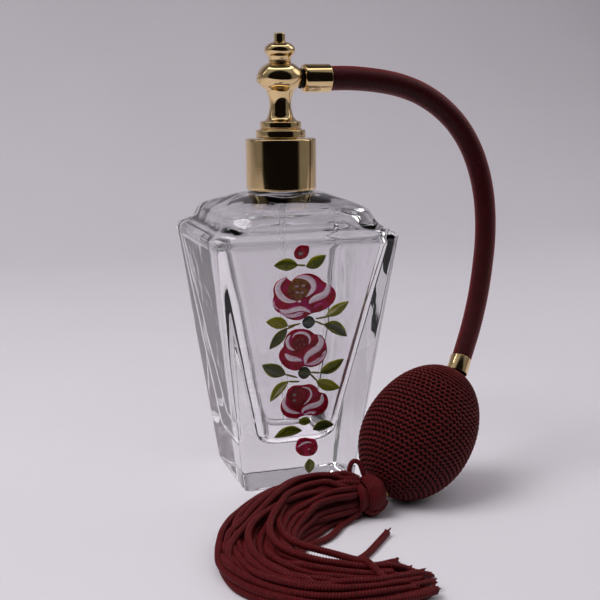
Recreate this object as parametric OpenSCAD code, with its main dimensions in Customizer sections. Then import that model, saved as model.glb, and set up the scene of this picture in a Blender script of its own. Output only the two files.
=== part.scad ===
// Bulb atomiser perfume bottle: a tapered square glass bottle with a screw-on spray head,
// a braided air hose, a netted rubber squeeze bulb and a tassel.
// The origin is the centre of the bottle's base, +Z is up and the painted face looks to -Y.

/* [Bottle] */
// Half of the bottle's width at its base
base_half = 18; // [17:0.5:19]
// Half of the bottle's width at its shoulder
shoulder_half = 28.6; // [28:0.2:29]
// Height of the shoulder, where the sides end
shoulder_z = 79.6; // [78:0.2:80]
// Height of the inside floor above the table
cavity_z = 13.5; // [12:0.5:15]

/* [Neck finish, 18-415] */
// Radius of the neck's wall outside
neck_r = 7.9; // [7.8:0.05:8]
// Radius over the neck's thread
neck_thread_r = 8.8; // [8.75:0.05:8.85]
// Radius of the neck's bore
neck_bore_r = 5.1; // [5:0.1:5.3]
// Height of the neck's rim
rim_z = 102.2; // [102:0.1:102.4]
// Thread pitch, eight turns to the inch
pitch = 3.175; // [3.175]
// Turns that the collar makes to come off
collar_turns = 1.5; // [1.5]

/* [Collar] */
// Outer radius of the collar
collar_r = 11; // [11:0.1:11.2]
// Underside of the collar
collar_z = 91.9; // [91.8:0.1:92]
// Top of the collar
collar_top_z = 107.7; // [107.7]
// Thickness of the collar's plated shell
shell_wall = 0.6; // [0.5:0.05:0.7]

/* [Spray head] */
// Largest radius of the big ball
ball_r = 7.1; // [7:0.1:7.2]
// Height of the big ball's middle
ball_z = 126.2; // [126:0.1:126.4]
// Largest radius of the finial's ball
finial_r = 4.75; // [4.5:0.05:4.9]
// Top of the finial
finial_top_z = 139.5; // [139:0.1:140]
// Height of the air connector's axis and of the nozzle
air_z = 125.8; // [125.7:0.1:125.9]
// Radius of the ferrule on the hose's head end
head_ferrule_r = 4.4; // [4.3:0.1:4.6]
// Where the head ferrule starts and ends along X
head_ferrule_x = [7.2, 15.9];

/* [Hose] */
// Radius of the braided sleeve at the head
hose_head_r = 3.9; // [3.8:0.05:3.9]
// Radius of the braided sleeve at the bulb
hose_bulb_r = 3.1; // [3:0.05:3.1]
// Thickness of the braided sleeve
sleeve_wall = 0.5; // [0.4:0.05:0.5]
// Wall of the rubber tube inside it
liner_wall = 0.8; // [0.7:0.05:0.8]

/* [Bulb] */
// Largest radius of the netted bulb
bulb_r = 16.9; // [16.5:0.1:17]
// Length of the bulb's hose end from its widest place
bulb_top = 24; // [23.5:0.1:24.5]
// Length of the bulb's tail end from its widest place
bulb_tail = 21; // [20.5:0.1:21]
// Thickness of the crocheted net
net_wall = 1; // [0.8:0.1:1.2]
// Wall of the rubber bulb
rubber_wall = 1.6; // [1.4:0.1:1.8]
// Radius of the ferrule on the bulb
bulb_ferrule_r = 3.3; // [3.25:0.05:3.4]

/* [Tassel] */
// Radius of the wrapped tassel head
tassel_head_r = 5.8; // [5.5:0.1:5.8]
// Half of the tassel head's length
tassel_head_half = 4.2; // [3.8:0.1:4.2]
// Radius of the thin tie cord
tie_r = 0.75; // [0.5:0.05:0.8]

/* [Hidden] */

$fn = 64;
fit = 0.1;                         // running clearance between turning pieces
gap = 0.3;                         // free clearance between pieces on different bodies
over = 1;                          // how far a cutter runs past the face that it cuts

// Neck stack, from the rim upwards
gasket_top_z = rim_z + 1;
plug_flange_z = gasket_top_z + 0.05;
washer_z = plug_flange_z + 1.2;
washer_top_z = washer_z + 0.9;
plate_hole_r = 5.3;
insert_r = collar_r - shell_wall - 0.05;
insert_bore_r = neck_thread_r + gap;
insert_plate_z = washer_top_z + 0.15;
insert_top_z = collar_top_z - 0.85;
plug_r = neck_bore_r - fit;
stem_r = 3.2;                      // the head's spigot inside the plug
feed_r = 1.5;
dip_r = 1.25;
dip_end_z = 17;
nozzle_r = 1.6;
air_bore_r = 0.8;
nipple_r = 1.7;
nipple_thread_r = 2;
seat_x = 6.2;                      // flat seat of the connector on the big ball
seat_r = 3.2;
flange_x = 7;                      // outer end of the connector's washer
ring_low_z = collar_top_z + 0.2;   // underside of the head's lower ring
head_joint_z = 131.3;              // where the finial sits on the head

// The bulb's centre, with its lowest point just on the table
bulb_at = [31.7, -35.5, 18.85];
bulb_lean = 47.5;
bulb_turn = 25;
// The bulb ferrule's foot, on the net, and its direction
neck_at = [47.8, -28.9, 36];
neck_lean = 38.5;
neck_turn = 42;
ferrule_len = 4.4;

// Centre line of the hose, from inside the head ferrule to inside the bulb ferrule
hose_route = [
    [11.5, 0, 125.8], [17, 0, 125.8], [22, 0, 125.8], [27, 0, 125.5], [33, -0.2, 124.8],
    [39, -0.5, 123.6], [45, -1, 121.5], [50, -1.5, 118.8], [54.5, -2, 115.4], [58.4, -2.8, 111.3],
    [61.5, -3.6, 106.7], [63.8, -4.5, 101.8], [65.3, -5.5, 96.8], [66.2, -6.6, 91.8],
    [66.5, -7.9, 86.8], [66.3, -9.3, 81.8], [65.7, -10.8, 76.8], [64.7, -12.4, 71.8],
    [63.3, -14.2, 66.9], [61.7, -16.1, 62], [59.8, -18.2, 57.1], [57.5, -20.5, 52.2],
    [54.8, -23.1, 47.3], [52, -25.6, 42.8], [49.3, -27.8, 38.3]
];
hose_sides = 12;

// Centre line, half width and height of the tassel's lying skirt
skirt_route = [
    [7.2, -46.2], [3, -45.3], [-4, -44.6], [-11, -46], [-18.5, -50.5], [-25, -58],
    [-28.5, -67.5], [-28.5, -77.5], [-24, -86.5], [-16, -92.5], [-6, -95], [4, -95], [10, -93]
];
skirt_half = [5, 6.5, 10, 12, 12.5, 12, 11.5, 11, 10.5, 9.5, 8.5, 7, 5];
skirt_top = [10.4, 10.2, 9.6, 9, 8.2, 7.4, 6.6, 6.2, 6, 5.6, 5, 4.4, 3.6];

// Centre line of the tie cord, a loop that starts and ends in the knot
tie_route = [
    [11.4, -44.4, 9.9], [10.8, -43.8, 12.2], [10.2, -43.3, 14.3], [9.6, -43, 15.3], [8.5, -42.7, 15.6],
    [7.6, -42.6, 14.9], [7, -42.7, 13], [7.4, -43.1, 11.1], [8.6, -43.8, 10.2], [9.6, -44.8, 9.4]
];
head_at = [12.2, -46, 6.1];
head_yaw = 10;

// ---------- shared functions ----------

function unit(v) = v / norm(v);

// Points of an arc of an ellipse about [cx, cz], for a turned profile
function arc(cx, cz, rx, rz, from, to, steps) =
    [for (i = [0 : steps]) let (a = from + (to - from) * i / steps) [cx + rx * cos(a), cz + rz * sin(a)]];

// Faces that join a stack of rings of the same number of points
function side_faces(sides, count) =
    [for (i = [0 : count - 2], j = [0 : sides - 1], half = [0, 1])
        let (a = i * sides + j, b = i * sides + (j + 1) % sides)
        half == 0 ? [a, a + sides, b + sides] : [a, b + sides, b]];

function cap_faces(sides, count) =
    [[for (j = [0 : sides - 1]) j], [for (j = [0 : sides - 1]) count * sides - 1 - j]];

// Faces that join the last ring to the first, for a wall that closes on itself
function closing_faces(sides, count) =
    [for (j = [0 : sides - 1], half = [0, 1])
        let (last = (count - 1) * sides, k = (j + 1) % sides)
        half == 0 ? [last + j, j, k] : [last + j, k, last + k]];

function flat_list(rings) = [for (ring = rings) for (p = ring) p];

// A ring of a square with round corners at height z
function square_ring(half, corner, z, steps = 3) =
    [for (q = [0 : 3], s = [0 : steps])
        let (a = 90 * q + 90 * s / steps, c = half - corner, sx = (q == 0 || q == 3) ? 1 : -1, sy = q < 2 ? 1 : -1)
        [sx * c + corner * cos(a), sy * c + corner * sin(a), z]];

// Direction of a route at point i
function along(route, i) =
    unit(route[min(i + 1, len(route) - 1)] - route[max(i - 1, 0)]);

// A ring of an ellipse across a route at point i
function cross_ring(route, i, wide, tall, sides, up) =
    let (t = along(route, i), n = unit(up - (up * t) * t), m = cross(t, n))
    [for (j = [0 : sides - 1]) let (a = 360 * (j + 0.5) / sides)
        route[i] + n * tall * cos(a) + m * wide * sin(a)];

module loft(rings) {
    sides = len(rings[0]);
    polyhedron(flat_list(rings), concat(side_faces(sides, len(rings)), cap_faces(sides, len(rings))));
}

module closed_loft(rings) {
    sides = len(rings[0]);
    polyhedron(flat_list(rings), concat(side_faces(sides, len(rings)), closing_faces(sides, len(rings))));
}

// A tube along the hose's route: outer and inner radius run evenly from the head to the bulb
module hose_tube(first, last, outer, inner) {
    n = len(hose_route);
    r = function(pair, i) pair[0] + (pair[1] - pair[0]) * i / (n - 1);
    outside = [for (i = [first : last])
        cross_ring(hose_route, i, r(outer, i), r(outer, i), hose_sides, [0, 1, 0])];
    inside = [for (k = [0 : last - first]) let (i = last - k)
        cross_ring(hose_route, i, r(inner, i), r(inner, i), hose_sides, [0, 1, 0])];
    closed_loft(concat(outside, inside));
}

// A screw thread's ridge: root and crest radius, width at the root and crest, start height and angle
module thread_ridge(root, crest, root_w, crest_w, z, turns, start) {
    steps = 24 * turns;
    loft([for (i = [0 : steps])
        let (a = start + 360 * turns * i / steps, rise = z + pitch * turns * i / steps,
             fade = min(1, min(i, steps - i) / 3 + 0.15),
             tip = root + (crest - root) * fade)
        [for (q = [[root, -root_w / 2], [tip, -crest_w / 2], [tip, crest_w / 2], [root, root_w / 2]])
            [q[0] * cos(a), q[0] * sin(a), rise + q[1]]]]);
}

module ring(outer, inner, low, high) {
    rotate_extrude() translate([inner, low]) square([outer - inner, high - low]);
}

// Turned about X, with profile points [radius, x]
module turned_x(points) {
    translate([0, 0, air_z]) rotate([0, 90, 0]) rotate_extrude() polygon(points);
}

// Puts a piece drawn about +Z on the bulb's own axis, or on the bulb ferrule's axis
module on_bulb() {
    translate(bulb_at) rotate([0, bulb_lean, bulb_turn]) children();
}

module on_neck() {
    translate(neck_at) rotate([0, neck_lean, neck_turn]) children();
}

// Half outline of the egg, shrunk by inset
function egg_points(inset) = concat(
    [[0, -(bulb_tail - inset)]],
    arc(0, 0, bulb_r - inset, bulb_tail - inset, -84, 0, 14),
    arc(0, 0, bulb_r - inset, bulb_top - inset, 6, 84, 13),
    [[0, bulb_top - inset]]);

module egg(inset) {
    rotate_extrude() polygon(egg_points(inset));
}

// ---------- bottle ----------

module glass_bottle() {
    slope = (shoulder_half - base_half) / shoulder_z;
    outside = [
        [base_half - 0.5, 1.6, 0], [base_half + 0.1, 2, 0.6], [shoulder_half, 2.4, shoulder_z - 0.4],
        [shoulder_half - 0.6, 2.6, shoulder_z + 0.4], [24.4, 5, 82.3], [23.9, 6, 83], [22.9, 7, 86.2],
        [21.9, 8, 87.2], [17, 9, 89.2], [13, 10, 90.9], [10.6, 10.5, 91.5]
    ];
    inside = [
        [8.5, 4, cavity_z], [11, 5, cavity_z + 0.8], [12.8, 5.5, cavity_z + 2.6],
        [13.9, 6, cavity_z + 6.5], [shoulder_half - 2, 6, shoulder_z - 1.3],
        [25.2, 6, shoulder_z + 0.4], [22.6, 7, 81.6], [21, 8, 85], [19.3, 9, 86.3],
        [15, 9.5, 88], [10.4, 10.3, 89.4]
    ];
    color("lightcyan", 0.4)
    difference() {
        union() {
            loft([for (p = outside) square_ring(p[0], p[1], p[2])]);
            ring(neck_r, neck_bore_r - over, 90, rim_z);
            thread_ridge(neck_r - 0.4, neck_thread_r, 1.6, 0.9, 95.4, collar_turns, 20);
        }
        loft([for (p = inside) square_ring(p[0], p[1], p[2])]);
        translate([0, 0, 88]) cylinder(r = neck_bore_r, h = rim_z - 88 + over);
    }
}

// ---------- pump-free spray head ----------

module neck_gasket() {
    color("dimgray") ring(neck_r, neck_bore_r, rim_z + 0.03, gasket_top_z);
}

module neck_plug() {
    color("white")
    difference() {
        union() {
            ring(8.2, stem_r, plug_flange_z, washer_z);
            translate([0, 0, 93]) cylinder(r = plug_r, h = plug_flange_z - 93);
        }
        translate([0, 0, 99]) cylinder(r = stem_r, h = 10);
        translate([0, 0, 90]) cylinder(r = dip_r, h = 12);
    }
}

module dip_tube() {
    color("whitesmoke") ring(dip_r, dip_r - 0.4, dip_end_z, 98.8);
}

module feed_stem() {
    color("whitesmoke") ring(feed_r, feed_r - 0.6, 99.4, air_z - air_bore_r - 0.4);
}

module retaining_washer() {
    color("goldenrod") ring(7.4, stem_r, washer_z, washer_top_z);
}

module head_body() {
    profile = concat(
        [[0, 99.1], [stem_r, 99.1], [stem_r, washer_top_z], [plate_hole_r - fit, washer_top_z],
         [plate_hole_r - fit, ring_low_z], [7.55, ring_low_z], [7.75, ring_low_z + 0.2],
         [7.75, ring_low_z + 2], [7.45, ring_low_z + 2.3], [6.6, ring_low_z + 2.55],
         [6.15, 110.9], [6.4, 111.1], [6.4, 112.5], [6.1, 112.8]],
        arc(6.1, 115.6, 2.35, 2.8, 270, 200, 6),
        [[3.45, 116.4], [3.35, 117.6], [3.45, 119], [3.65, 120.2], [4.05, 121.1]],
        arc(0, ball_z, ball_r, 5, -52, 60, 18),
        [[3.4, head_joint_z - 0.5], [3.6, head_joint_z - 0.25], [3.4, head_joint_z], [0, head_joint_z]]);
    color("gold")
    difference() {
        rotate_extrude() polygon(profile);
        translate([0, 0, 98]) cylinder(r = feed_r, h = air_z + 1 - 98);
        translate([0, 0, 128.2]) cylinder(r = 1.2, h = 4);
        translate([-ball_r - over, 0, air_z]) rotate([0, 90, 0]) cylinder(r = nozzle_r, h = ball_r + over - 4.6);
        translate([-5, 0, air_z]) rotate([0, 90, 0]) cylinder(r = air_bore_r, h = 10);
        translate([4, 0, air_z]) rotate([0, 90, 0]) cylinder(r = nipple_thread_r, h = 5);
        translate([seat_x, 0, air_z]) rotate([0, 90, 0]) cylinder(r = seat_r, h = 5);
    }
}

module finial() {
    profile = concat(
        [[0, 128.5], [1.2, 128.5], [1.2, head_joint_z], [3.3, head_joint_z], [3.45, head_joint_z + 0.5]],
        arc(0, 134.3, finial_r, 2.75, -40, 68, 14),
        [[1.75, 137], [1.75, finial_top_z - 0.5], [1.45, finial_top_z], [0, finial_top_z]]);
    color("gold") rotate_extrude() polygon(profile);
}

module nozzle_insert() {
    color("goldenrod")
    turned_x([[0.25, -7.15], [1.3, -7.15], [nozzle_r, -6.9], [nozzle_r, -4.6], [0.6, -4.6], [0.25, -6]]);
}

module connector_washer() {
    color("black")
    turned_x([[nipple_thread_r, seat_x], [seat_r - 0.1, seat_x], [seat_r - 0.1, flange_x - 0.3],
              [seat_r - 0.4, flange_x], [nipple_thread_r, flange_x]]);
}

module connector_nipple() {
    color("goldenrod")
    turned_x([[air_bore_r, 4], [nipple_thread_r, 4], [nipple_thread_r, flange_x], [nipple_r, flange_x + 0.1],
              [nipple_r, 11.4], [air_bore_r, 11.4]]);
}

// ---------- collar ----------

module collar_shell() {
    round_r = 0.7;
    inner = collar_r - shell_wall;
    color("gold")
    rotate_extrude() polygon(concat(
        [[inner, collar_z], [collar_r - 0.15, collar_z], [collar_r, collar_z + 0.2]],
        arc(collar_r - round_r, collar_top_z - round_r, round_r, round_r, 0, 90, 6),
        [[plate_hole_r, collar_top_z], [plate_hole_r, insert_top_z + 0.05], [inner, insert_top_z + 0.05]]));
}

module collar_insert() {
    color("ivory")
    union() {
        rotate_extrude() polygon([
            [insert_bore_r, collar_z + 0.3], [insert_r, collar_z + 0.3], [insert_r, insert_top_z],
            [plate_hole_r, insert_top_z], [plate_hole_r, insert_plate_z], [insert_bore_r, insert_plate_z]]);
        thread_ridge(insert_bore_r + 0.4, neck_r + gap, 1.5, 0.8, 95.4 - pitch / 2, 1.25, 20);
    }
}

// ---------- air line ----------

module head_ferrule() {
    x0 = head_ferrule_x[0];
    x1 = head_ferrule_x[1];
    bore = hose_head_r + 0.05;
    color("gold")
    turned_x(concat(
        [[nipple_r + fit, x0 + 0.6], [nipple_r + fit, x0], [head_ferrule_r - 1.1, x0]],
        arc(head_ferrule_r - 1.1, x0 + 1.1, 1.1, 1.1, -72, 0, 5),
        [[head_ferrule_r, x1 - 0.2], [head_ferrule_r - 0.2, x1], [bore, x1], [bore, x0 + 1.1],
         [bore - 0.6, x0 + 0.6]]));
}

module hose_barb() {
    color("goldenrod")
    turned_x([[nipple_r + fit, 9.4], [2.35, 9.4], [2.35, 11.8], [2.1, 12], [2.35, 13.4], [2.1, 13.5],
              [2.35, 15], [2.1, 15.1], [2.1, 16.6], [air_bore_r, 16.6], [air_bore_r, 11.7],
              [nipple_r + fit, 11.7]]);
}

module hose_liner() {
    outer = [hose_head_r - sleeve_wall - 0.05, hose_bulb_r - sleeve_wall - 0.05];
    color("black")
    hose_tube(0, len(hose_route) - 1, outer, [outer[0] - liner_wall, outer[1] - liner_wall]);
}

module hose_sleeve() {
    color("maroon")
    hose_tube(0, len(hose_route) - 1, [hose_head_r, hose_bulb_r],
              [hose_head_r - sleeve_wall, hose_bulb_r - sleeve_wall]);
}

module bulb_ferrule() {
    color("gold") on_neck() rotate_extrude() polygon([
        [hose_bulb_r + 0.05, -0.6], [bulb_ferrule_r - 0.1, -0.6], [bulb_ferrule_r, -0.4],
        [bulb_ferrule_r, ferrule_len - 0.2], [bulb_ferrule_r - 0.1, ferrule_len],
        [hose_bulb_r + 0.05, ferrule_len]]);
}

module bulb_barb() {
    color("goldenrod") on_neck() rotate_extrude() polygon([
        [0.9, -3.5], [1.5, -3.5], [1.65, -3], [1.5, -1.2], [1.5, 3], [1.65, 5], [1.5, 6.4], [0.9, 6.4]]);
}

module rubber_bulb() {
    inset = net_wall + 0.3;
    color("black")
    difference() {
        union() {
            on_bulb() egg(inset);
            on_neck() translate([0, 0, -5]) cylinder(r = 2.5, h = 6.6);
        }
        on_bulb() egg(inset + rubber_wall);
        on_neck() translate([0, 0, -9]) cylinder(r = 1.7, h = 12);
        on_bulb() translate([0, 0, -bulb_tail - 2]) cylinder(r = 2, h = 6);
    }
}

module bulb_net() {
    color("maroon")
    difference() {
        on_bulb() egg(0);
        on_bulb() egg(net_wall);
        on_neck() translate([0, 0, -6]) cylinder(r = bulb_ferrule_r + 0.1, h = 12);
        on_bulb() translate([0, 0, -bulb_tail - 2]) cylinder(r = 2.2, h = 6);
    }
}

module intake_valve_body() {
    tail = -bulb_tail;
    color("goldenrod") on_bulb() rotate_extrude() polygon([
        [0.5, tail], [2, tail], [2, tail + 5], [0.6, tail + 5], [0.6, tail + 4.6], [1.4, tail + 4.4],
        [1.4, tail + 1.6], [0.5, tail + 1]]);
}

module intake_valve_ball() {
    color("silver") on_bulb() translate([0, 0, -bulb_tail + 2.9]) sphere(r = 1.1);
}

// ---------- tassel ----------

module tassel_tie() {
    color("maroon")
    loft([for (i = [0 : len(tie_route) - 1]) cross_ring(tie_route, i, tie_r, tie_r, 8, [0, 1, 0])]);
}

module tassel_head() {
    color("maroon") translate(head_at) rotate([0, -90, head_yaw]) rotate_extrude() polygon(concat(
        [[0, -tassel_head_half]],
        arc(0, 0, tassel_head_r, tassel_head_half, -75, 0, 8),
        arc(0, 0, tassel_head_r, tassel_head_half, 8, 40, 4),
        [[4.2, tassel_head_half * 0.75], [0, tassel_head_half * 0.75]]));
}

module tassel_binding() {
    winding_r = 0.9;
    color("darkred") translate(head_at) rotate([0, -90, head_yaw]) rotate_extrude()
        translate([3.3, tassel_head_half * 0.75 + winding_r]) circle(r = winding_r);
}

module tassel_skirt() {
    sides = 16;
    rings = [for (i = [0 : len(skirt_route) - 1])
        let (half = skirt_top[i] / 2, t = along(skirt_route, i), side = [-t[1], t[0]])
        [for (j = [0 : sides - 1]) let (a = 360 * (j + 0.5) / sides,
              flat = max(sin(a), -0.8) * half, low = 0.8 * half)
            [skirt_route[i][0] - side[0] * skirt_half[i] * cos(a),
             skirt_route[i][1] - side[1] * skirt_half[i] * cos(a), low + flat]]];
    color("maroon") loft([for (r = rings) [for (j = [0 : sides - 1]) r[sides - 1 - j]]]);
}

glass_bottle();
neck_gasket();
neck_plug();
dip_tube();
feed_stem();
retaining_washer();
head_body();
finial();
nozzle_insert();
connector_washer();
connector_nipple();
collar_shell();
collar_insert();
head_ferrule();
hose_barb();
hose_liner();
hose_sleeve();
bulb_ferrule();
bulb_barb();
rubber_bulb();
bulb_net();
intake_valve_body();
intake_valve_ball();
tassel_tie();
tassel_head();
tassel_binding();
tassel_skirt();
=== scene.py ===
"""Looks of a perfume bottle with a bulb atomiser: glass, plated head, braided hose, net and tassel."""

import math
import random

import bpy
import numpy as np
from mathutils import Matrix, Vector, noise


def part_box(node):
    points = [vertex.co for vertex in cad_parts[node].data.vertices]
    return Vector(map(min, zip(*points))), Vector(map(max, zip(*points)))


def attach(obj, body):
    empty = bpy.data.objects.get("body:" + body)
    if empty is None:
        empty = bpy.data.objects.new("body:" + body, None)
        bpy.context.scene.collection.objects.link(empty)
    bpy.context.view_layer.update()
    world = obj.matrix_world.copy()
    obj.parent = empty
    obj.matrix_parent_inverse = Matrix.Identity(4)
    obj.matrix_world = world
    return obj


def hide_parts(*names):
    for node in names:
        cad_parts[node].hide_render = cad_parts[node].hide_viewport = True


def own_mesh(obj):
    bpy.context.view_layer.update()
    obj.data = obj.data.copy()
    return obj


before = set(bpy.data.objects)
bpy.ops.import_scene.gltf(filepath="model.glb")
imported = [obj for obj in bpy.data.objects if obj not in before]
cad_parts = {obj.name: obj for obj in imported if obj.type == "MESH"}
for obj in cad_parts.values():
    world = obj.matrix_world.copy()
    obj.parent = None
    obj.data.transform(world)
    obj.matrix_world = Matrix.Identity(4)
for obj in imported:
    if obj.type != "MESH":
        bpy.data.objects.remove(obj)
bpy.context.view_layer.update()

MM = 0.001


# ---------- small tools ----------


def srgb(code):
    """An sRGB hex colour as the linear colour that a shader socket takes."""
    parts = [int(code[i : i + 2], 16) / 255 for i in (1, 3, 5)]
    linear = [c / 12.92 if c <= 0.04045 else ((c + 0.055) / 1.055) ** 2.4 for c in parts]
    return (*linear, 1.0)


def add_node(tree, kind, links=None, **settings):
    """Adds a node. links holds the value or the output for each input. settings are the node's own."""
    node = tree.nodes.new(kind)
    for key, value in settings.items():
        setattr(node, key, value)
    for key, value in (links or {}).items():
        if isinstance(value, bpy.types.NodeSocket):
            tree.links.new(value, node.inputs[key])
        else:
            node.inputs[key].default_value = value
    return node


def unit(v):
    return v / np.maximum(np.linalg.norm(v, axis=-1, keepdims=True), 1e-12)


def ease(value, low, high):
    """Smooth step from 0 below low to 1 above high."""
    t = np.clip((value - low) / (high - low), 0, 1)
    return t * t * (3 - 2 * t)


def smooth_path(points, step):
    """Points a step apart along a Catmull-Rom curve through the given points."""
    p = np.array(points, float)
    p = np.vstack([2 * p[0] - p[1], p, 2 * p[-1] - p[-2]])
    fine = []
    for i in range(1, len(p) - 2):
        for t in np.linspace(0, 1, 24, endpoint=False):
            a = 2 * p[i]
            b = p[i + 1] - p[i - 1]
            c = 2 * p[i - 1] - 5 * p[i] + 4 * p[i + 1] - p[i + 2]
            d = -p[i - 1] + 3 * p[i] - 3 * p[i + 1] + p[i + 2]
            fine.append(0.5 * (a + b * t + c * t * t + d * t**3))
    fine.append(p[-2])
    return even_steps(np.array(fine), step)


def even_steps(points, step):
    """The same line, resampled to points a step apart."""
    lengths = np.concatenate([[0], np.cumsum(np.linalg.norm(np.diff(points, axis=0), axis=1))])
    count = max(3, int(round(lengths[-1] / step)) + 1)
    even = np.linspace(0, lengths[-1], count)
    return np.stack([np.interp(even, lengths, points[:, k]) for k in range(points.shape[1])], 1)


def path_length(points):
    return float(np.linalg.norm(np.diff(points, axis=0), axis=1).sum())


def carried_frames(path, first_up):
    """Normals and side directions along a path, without twist."""
    tangent = unit(np.gradient(path, axis=0))
    up = np.zeros_like(path)
    previous = np.array(first_up, float)
    for i, t in enumerate(tangent):
        previous = unit(previous - t * (previous @ t))
        up[i] = previous
    return up, np.cross(tangent, up)


def grid_faces(rows, cols, closed=True):
    """Faces between rows of cols points each. A closed grid joins its last column to its first."""
    faces = []
    for i in range(rows - 1):
        for j in range(cols if closed else cols - 1):
            k = (j + 1) % cols
            a = i * cols
            faces.append((a + j, a + k, a + cols + k, a + cols + j))
    return faces


def make_piece(name, points, faces, material, sharp=None, edges=()):
    """A mesh object at the origin, smooth shaded, with edges sharp past an angle in degrees."""
    mesh = bpy.data.meshes.new(name)
    mesh.from_pydata(np.asarray(points, float).tolist(), edges, faces)
    mesh.validate()
    mesh.polygons.foreach_set("use_smooth", [True] * len(mesh.polygons))
    if sharp is not None:
        mesh.set_sharp_from_angle(angle=math.radians(sharp))
    if material is not None:
        mesh.materials.append(material)
    piece = bpy.data.objects.new(name, mesh)
    bpy.context.scene.collection.objects.link(piece)
    return piece


def store(piece, name, values):
    """Stores a value for each point of a mesh, for its material to read."""
    layer = piece.data.attributes.new(name, "FLOAT", "POINT")
    layer.data.foreach_set("value", np.asarray(values, np.float32).ravel())


def evaluated_copy(host, name):
    """The plain mesh that an object's modifiers make, as a new piece. The host is removed."""
    bpy.context.view_layer.update()
    graph = bpy.context.evaluated_depsgraph_get()
    mesh = bpy.data.meshes.new_from_object(host.evaluated_get(graph), depsgraph=graph)
    piece = bpy.data.objects.new(name, mesh)
    bpy.context.scene.collection.objects.link(piece)
    bpy.data.objects.remove(host, do_unlink=True)
    mesh.name = name
    return piece


def arc(centre_r, centre_z, radius_r, radius_z, start, end, steps):
    """Points of an elliptical arc in a turned profile, angles in degrees."""
    angles = np.radians(np.linspace(start, end, steps + 1))
    return [(centre_r + radius_r * math.cos(a), centre_z + radius_z * math.sin(a)) for a in angles]


def filleted(corners, steps=6):
    """A profile whose corners are rounded. Each corner is (radius, height) or (radius, height, fillet)."""
    points = []
    for i, corner in enumerate(corners):
        here = np.array(corner[:2], float)
        size = corner[2] if len(corner) > 2 else 0
        if size == 0 or i in (0, len(corners) - 1):
            points.append(tuple(here))
            continue
        before = np.array(corners[i - 1][:2], float) - here
        after = np.array(corners[i + 1][:2], float) - here
        reach = min(size, 0.48 * np.linalg.norm(before), 0.48 * np.linalg.norm(after))
        start, end = here + unit(before) * reach, here + unit(after) * reach
        for t in np.linspace(0, 1, steps + 1):
            points.append(tuple((1 - t) ** 2 * start + 2 * t * (1 - t) * here + t * t * end))
    return points


def turned(name, profile, place, material, around=128):
    """A solid turned from (radius, height) points in mm, bottom to top on the outside, in a placed frame."""
    profile = [p for i, p in enumerate(profile) if i == 0 or math.dist(p, profile[i - 1]) > 1e-6]
    angle = np.linspace(0, 2 * math.pi, around, endpoint=False)
    ring = np.stack([np.cos(angle), np.sin(angle)], 1)
    points, starts = [], []
    for r, z in profile:
        starts.append((len(points), r > 1e-6))
        rows = ring * r if r > 1e-6 else np.zeros((1, 2))
        points.extend([(x, y, z) for x, y in rows])
    closed = profile[0][0] > 1e-6 and profile[-1][0] > 1e-6
    pairs = list(zip(starts[:-1], starts[1:]))
    if closed:
        pairs.append((starts[-1], starts[0]))
    faces = []
    for (a, a_ring), (b, b_ring) in pairs:
        for j in range(around):
            k = (j + 1) % around
            if a_ring and b_ring:
                faces.append((a + j, a + k, b + k, b + j))
            elif a_ring:
                faces.append((a + j, a + k, b))
            elif b_ring:
                faces.append((a, b + k, b + j))
    placed = [place @ Vector(p) * MM for p in points]
    return make_piece(name, placed, faces, material, sharp=40)


def cut_away(piece, cutter):
    """Takes the cutter's shape out of a piece."""
    boolean = piece.modifiers.new("bore", "BOOLEAN")
    boolean.operation = "DIFFERENCE"
    boolean.solver = "EXACT"
    boolean.object = cutter
    name, material = piece.name, piece.data.materials[0]
    piece.name = name + "_uncut"
    result = evaluated_copy(piece, name)
    bpy.data.objects.remove(cutter, do_unlink=True)
    result.data.materials.clear()
    result.data.materials.append(material)
    result.data.set_sharp_from_angle(angle=math.radians(35))
    return result


def along_x(height):
    """Places a profile drawn about +Z on the air line's level axis, pointing to +X."""
    return Matrix.Translation((0, 0, height)) @ Matrix.Rotation(math.radians(90), 4, "Y")


# ---------- sizes, in mm, as the frame gives them ----------

glass_low, glass_high = (np.array(c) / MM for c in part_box("glass_bottle"))
collar_low, collar_high = (np.array(c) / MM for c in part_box("collar_shell"))
head_ferrule_low, head_ferrule_high = (np.array(c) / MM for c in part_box("head_ferrule"))
finial_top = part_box("finial")[1].z / MM

air_z = (head_ferrule_low[2] + head_ferrule_high[2]) / 2
ball_z = 126.2
collar_r = collar_high[0]
rim_z = glass_high[2]
base_half = 18.1
shoulder_z = 79.6
face_slope = math.atan((28.6 - base_half) / 78.6)

bulb_at = np.array((31.7, -35.5, 18.85))
bulb_lean, bulb_turn = math.radians(47.5), math.radians(25)
bulb_r, bulb_top, bulb_tail = 16.9, 24.0, 21.0
neck_at = np.array((47.8, -28.9, 36.0))
neck_lean, neck_turn = math.radians(38.5), math.radians(42)

hose_route = [
    (11.5, 0, 125.8), (17, 0, 125.8), (22, 0, 125.8), (27, 0, 125.5), (33, -0.2, 124.8),
    (39, -0.5, 123.6), (45, -1, 121.5), (50, -1.5, 118.8), (54.5, -2, 115.4), (58.4, -2.8, 111.3),
    (61.5, -3.6, 106.7), (63.8, -4.5, 101.8), (65.3, -5.5, 96.8), (66.2, -6.6, 91.8),
    (66.5, -7.9, 86.8), (66.3, -9.3, 81.8), (65.7, -10.8, 76.8), (64.7, -12.4, 71.8),
    (63.3, -14.2, 66.9), (61.7, -16.1, 62), (59.8, -18.2, 57.1), (57.5, -20.5, 52.2),
    (54.8, -23.1, 47.3), (52, -25.6, 42.8), (49.3, -27.8, 38.3),
]

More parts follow.
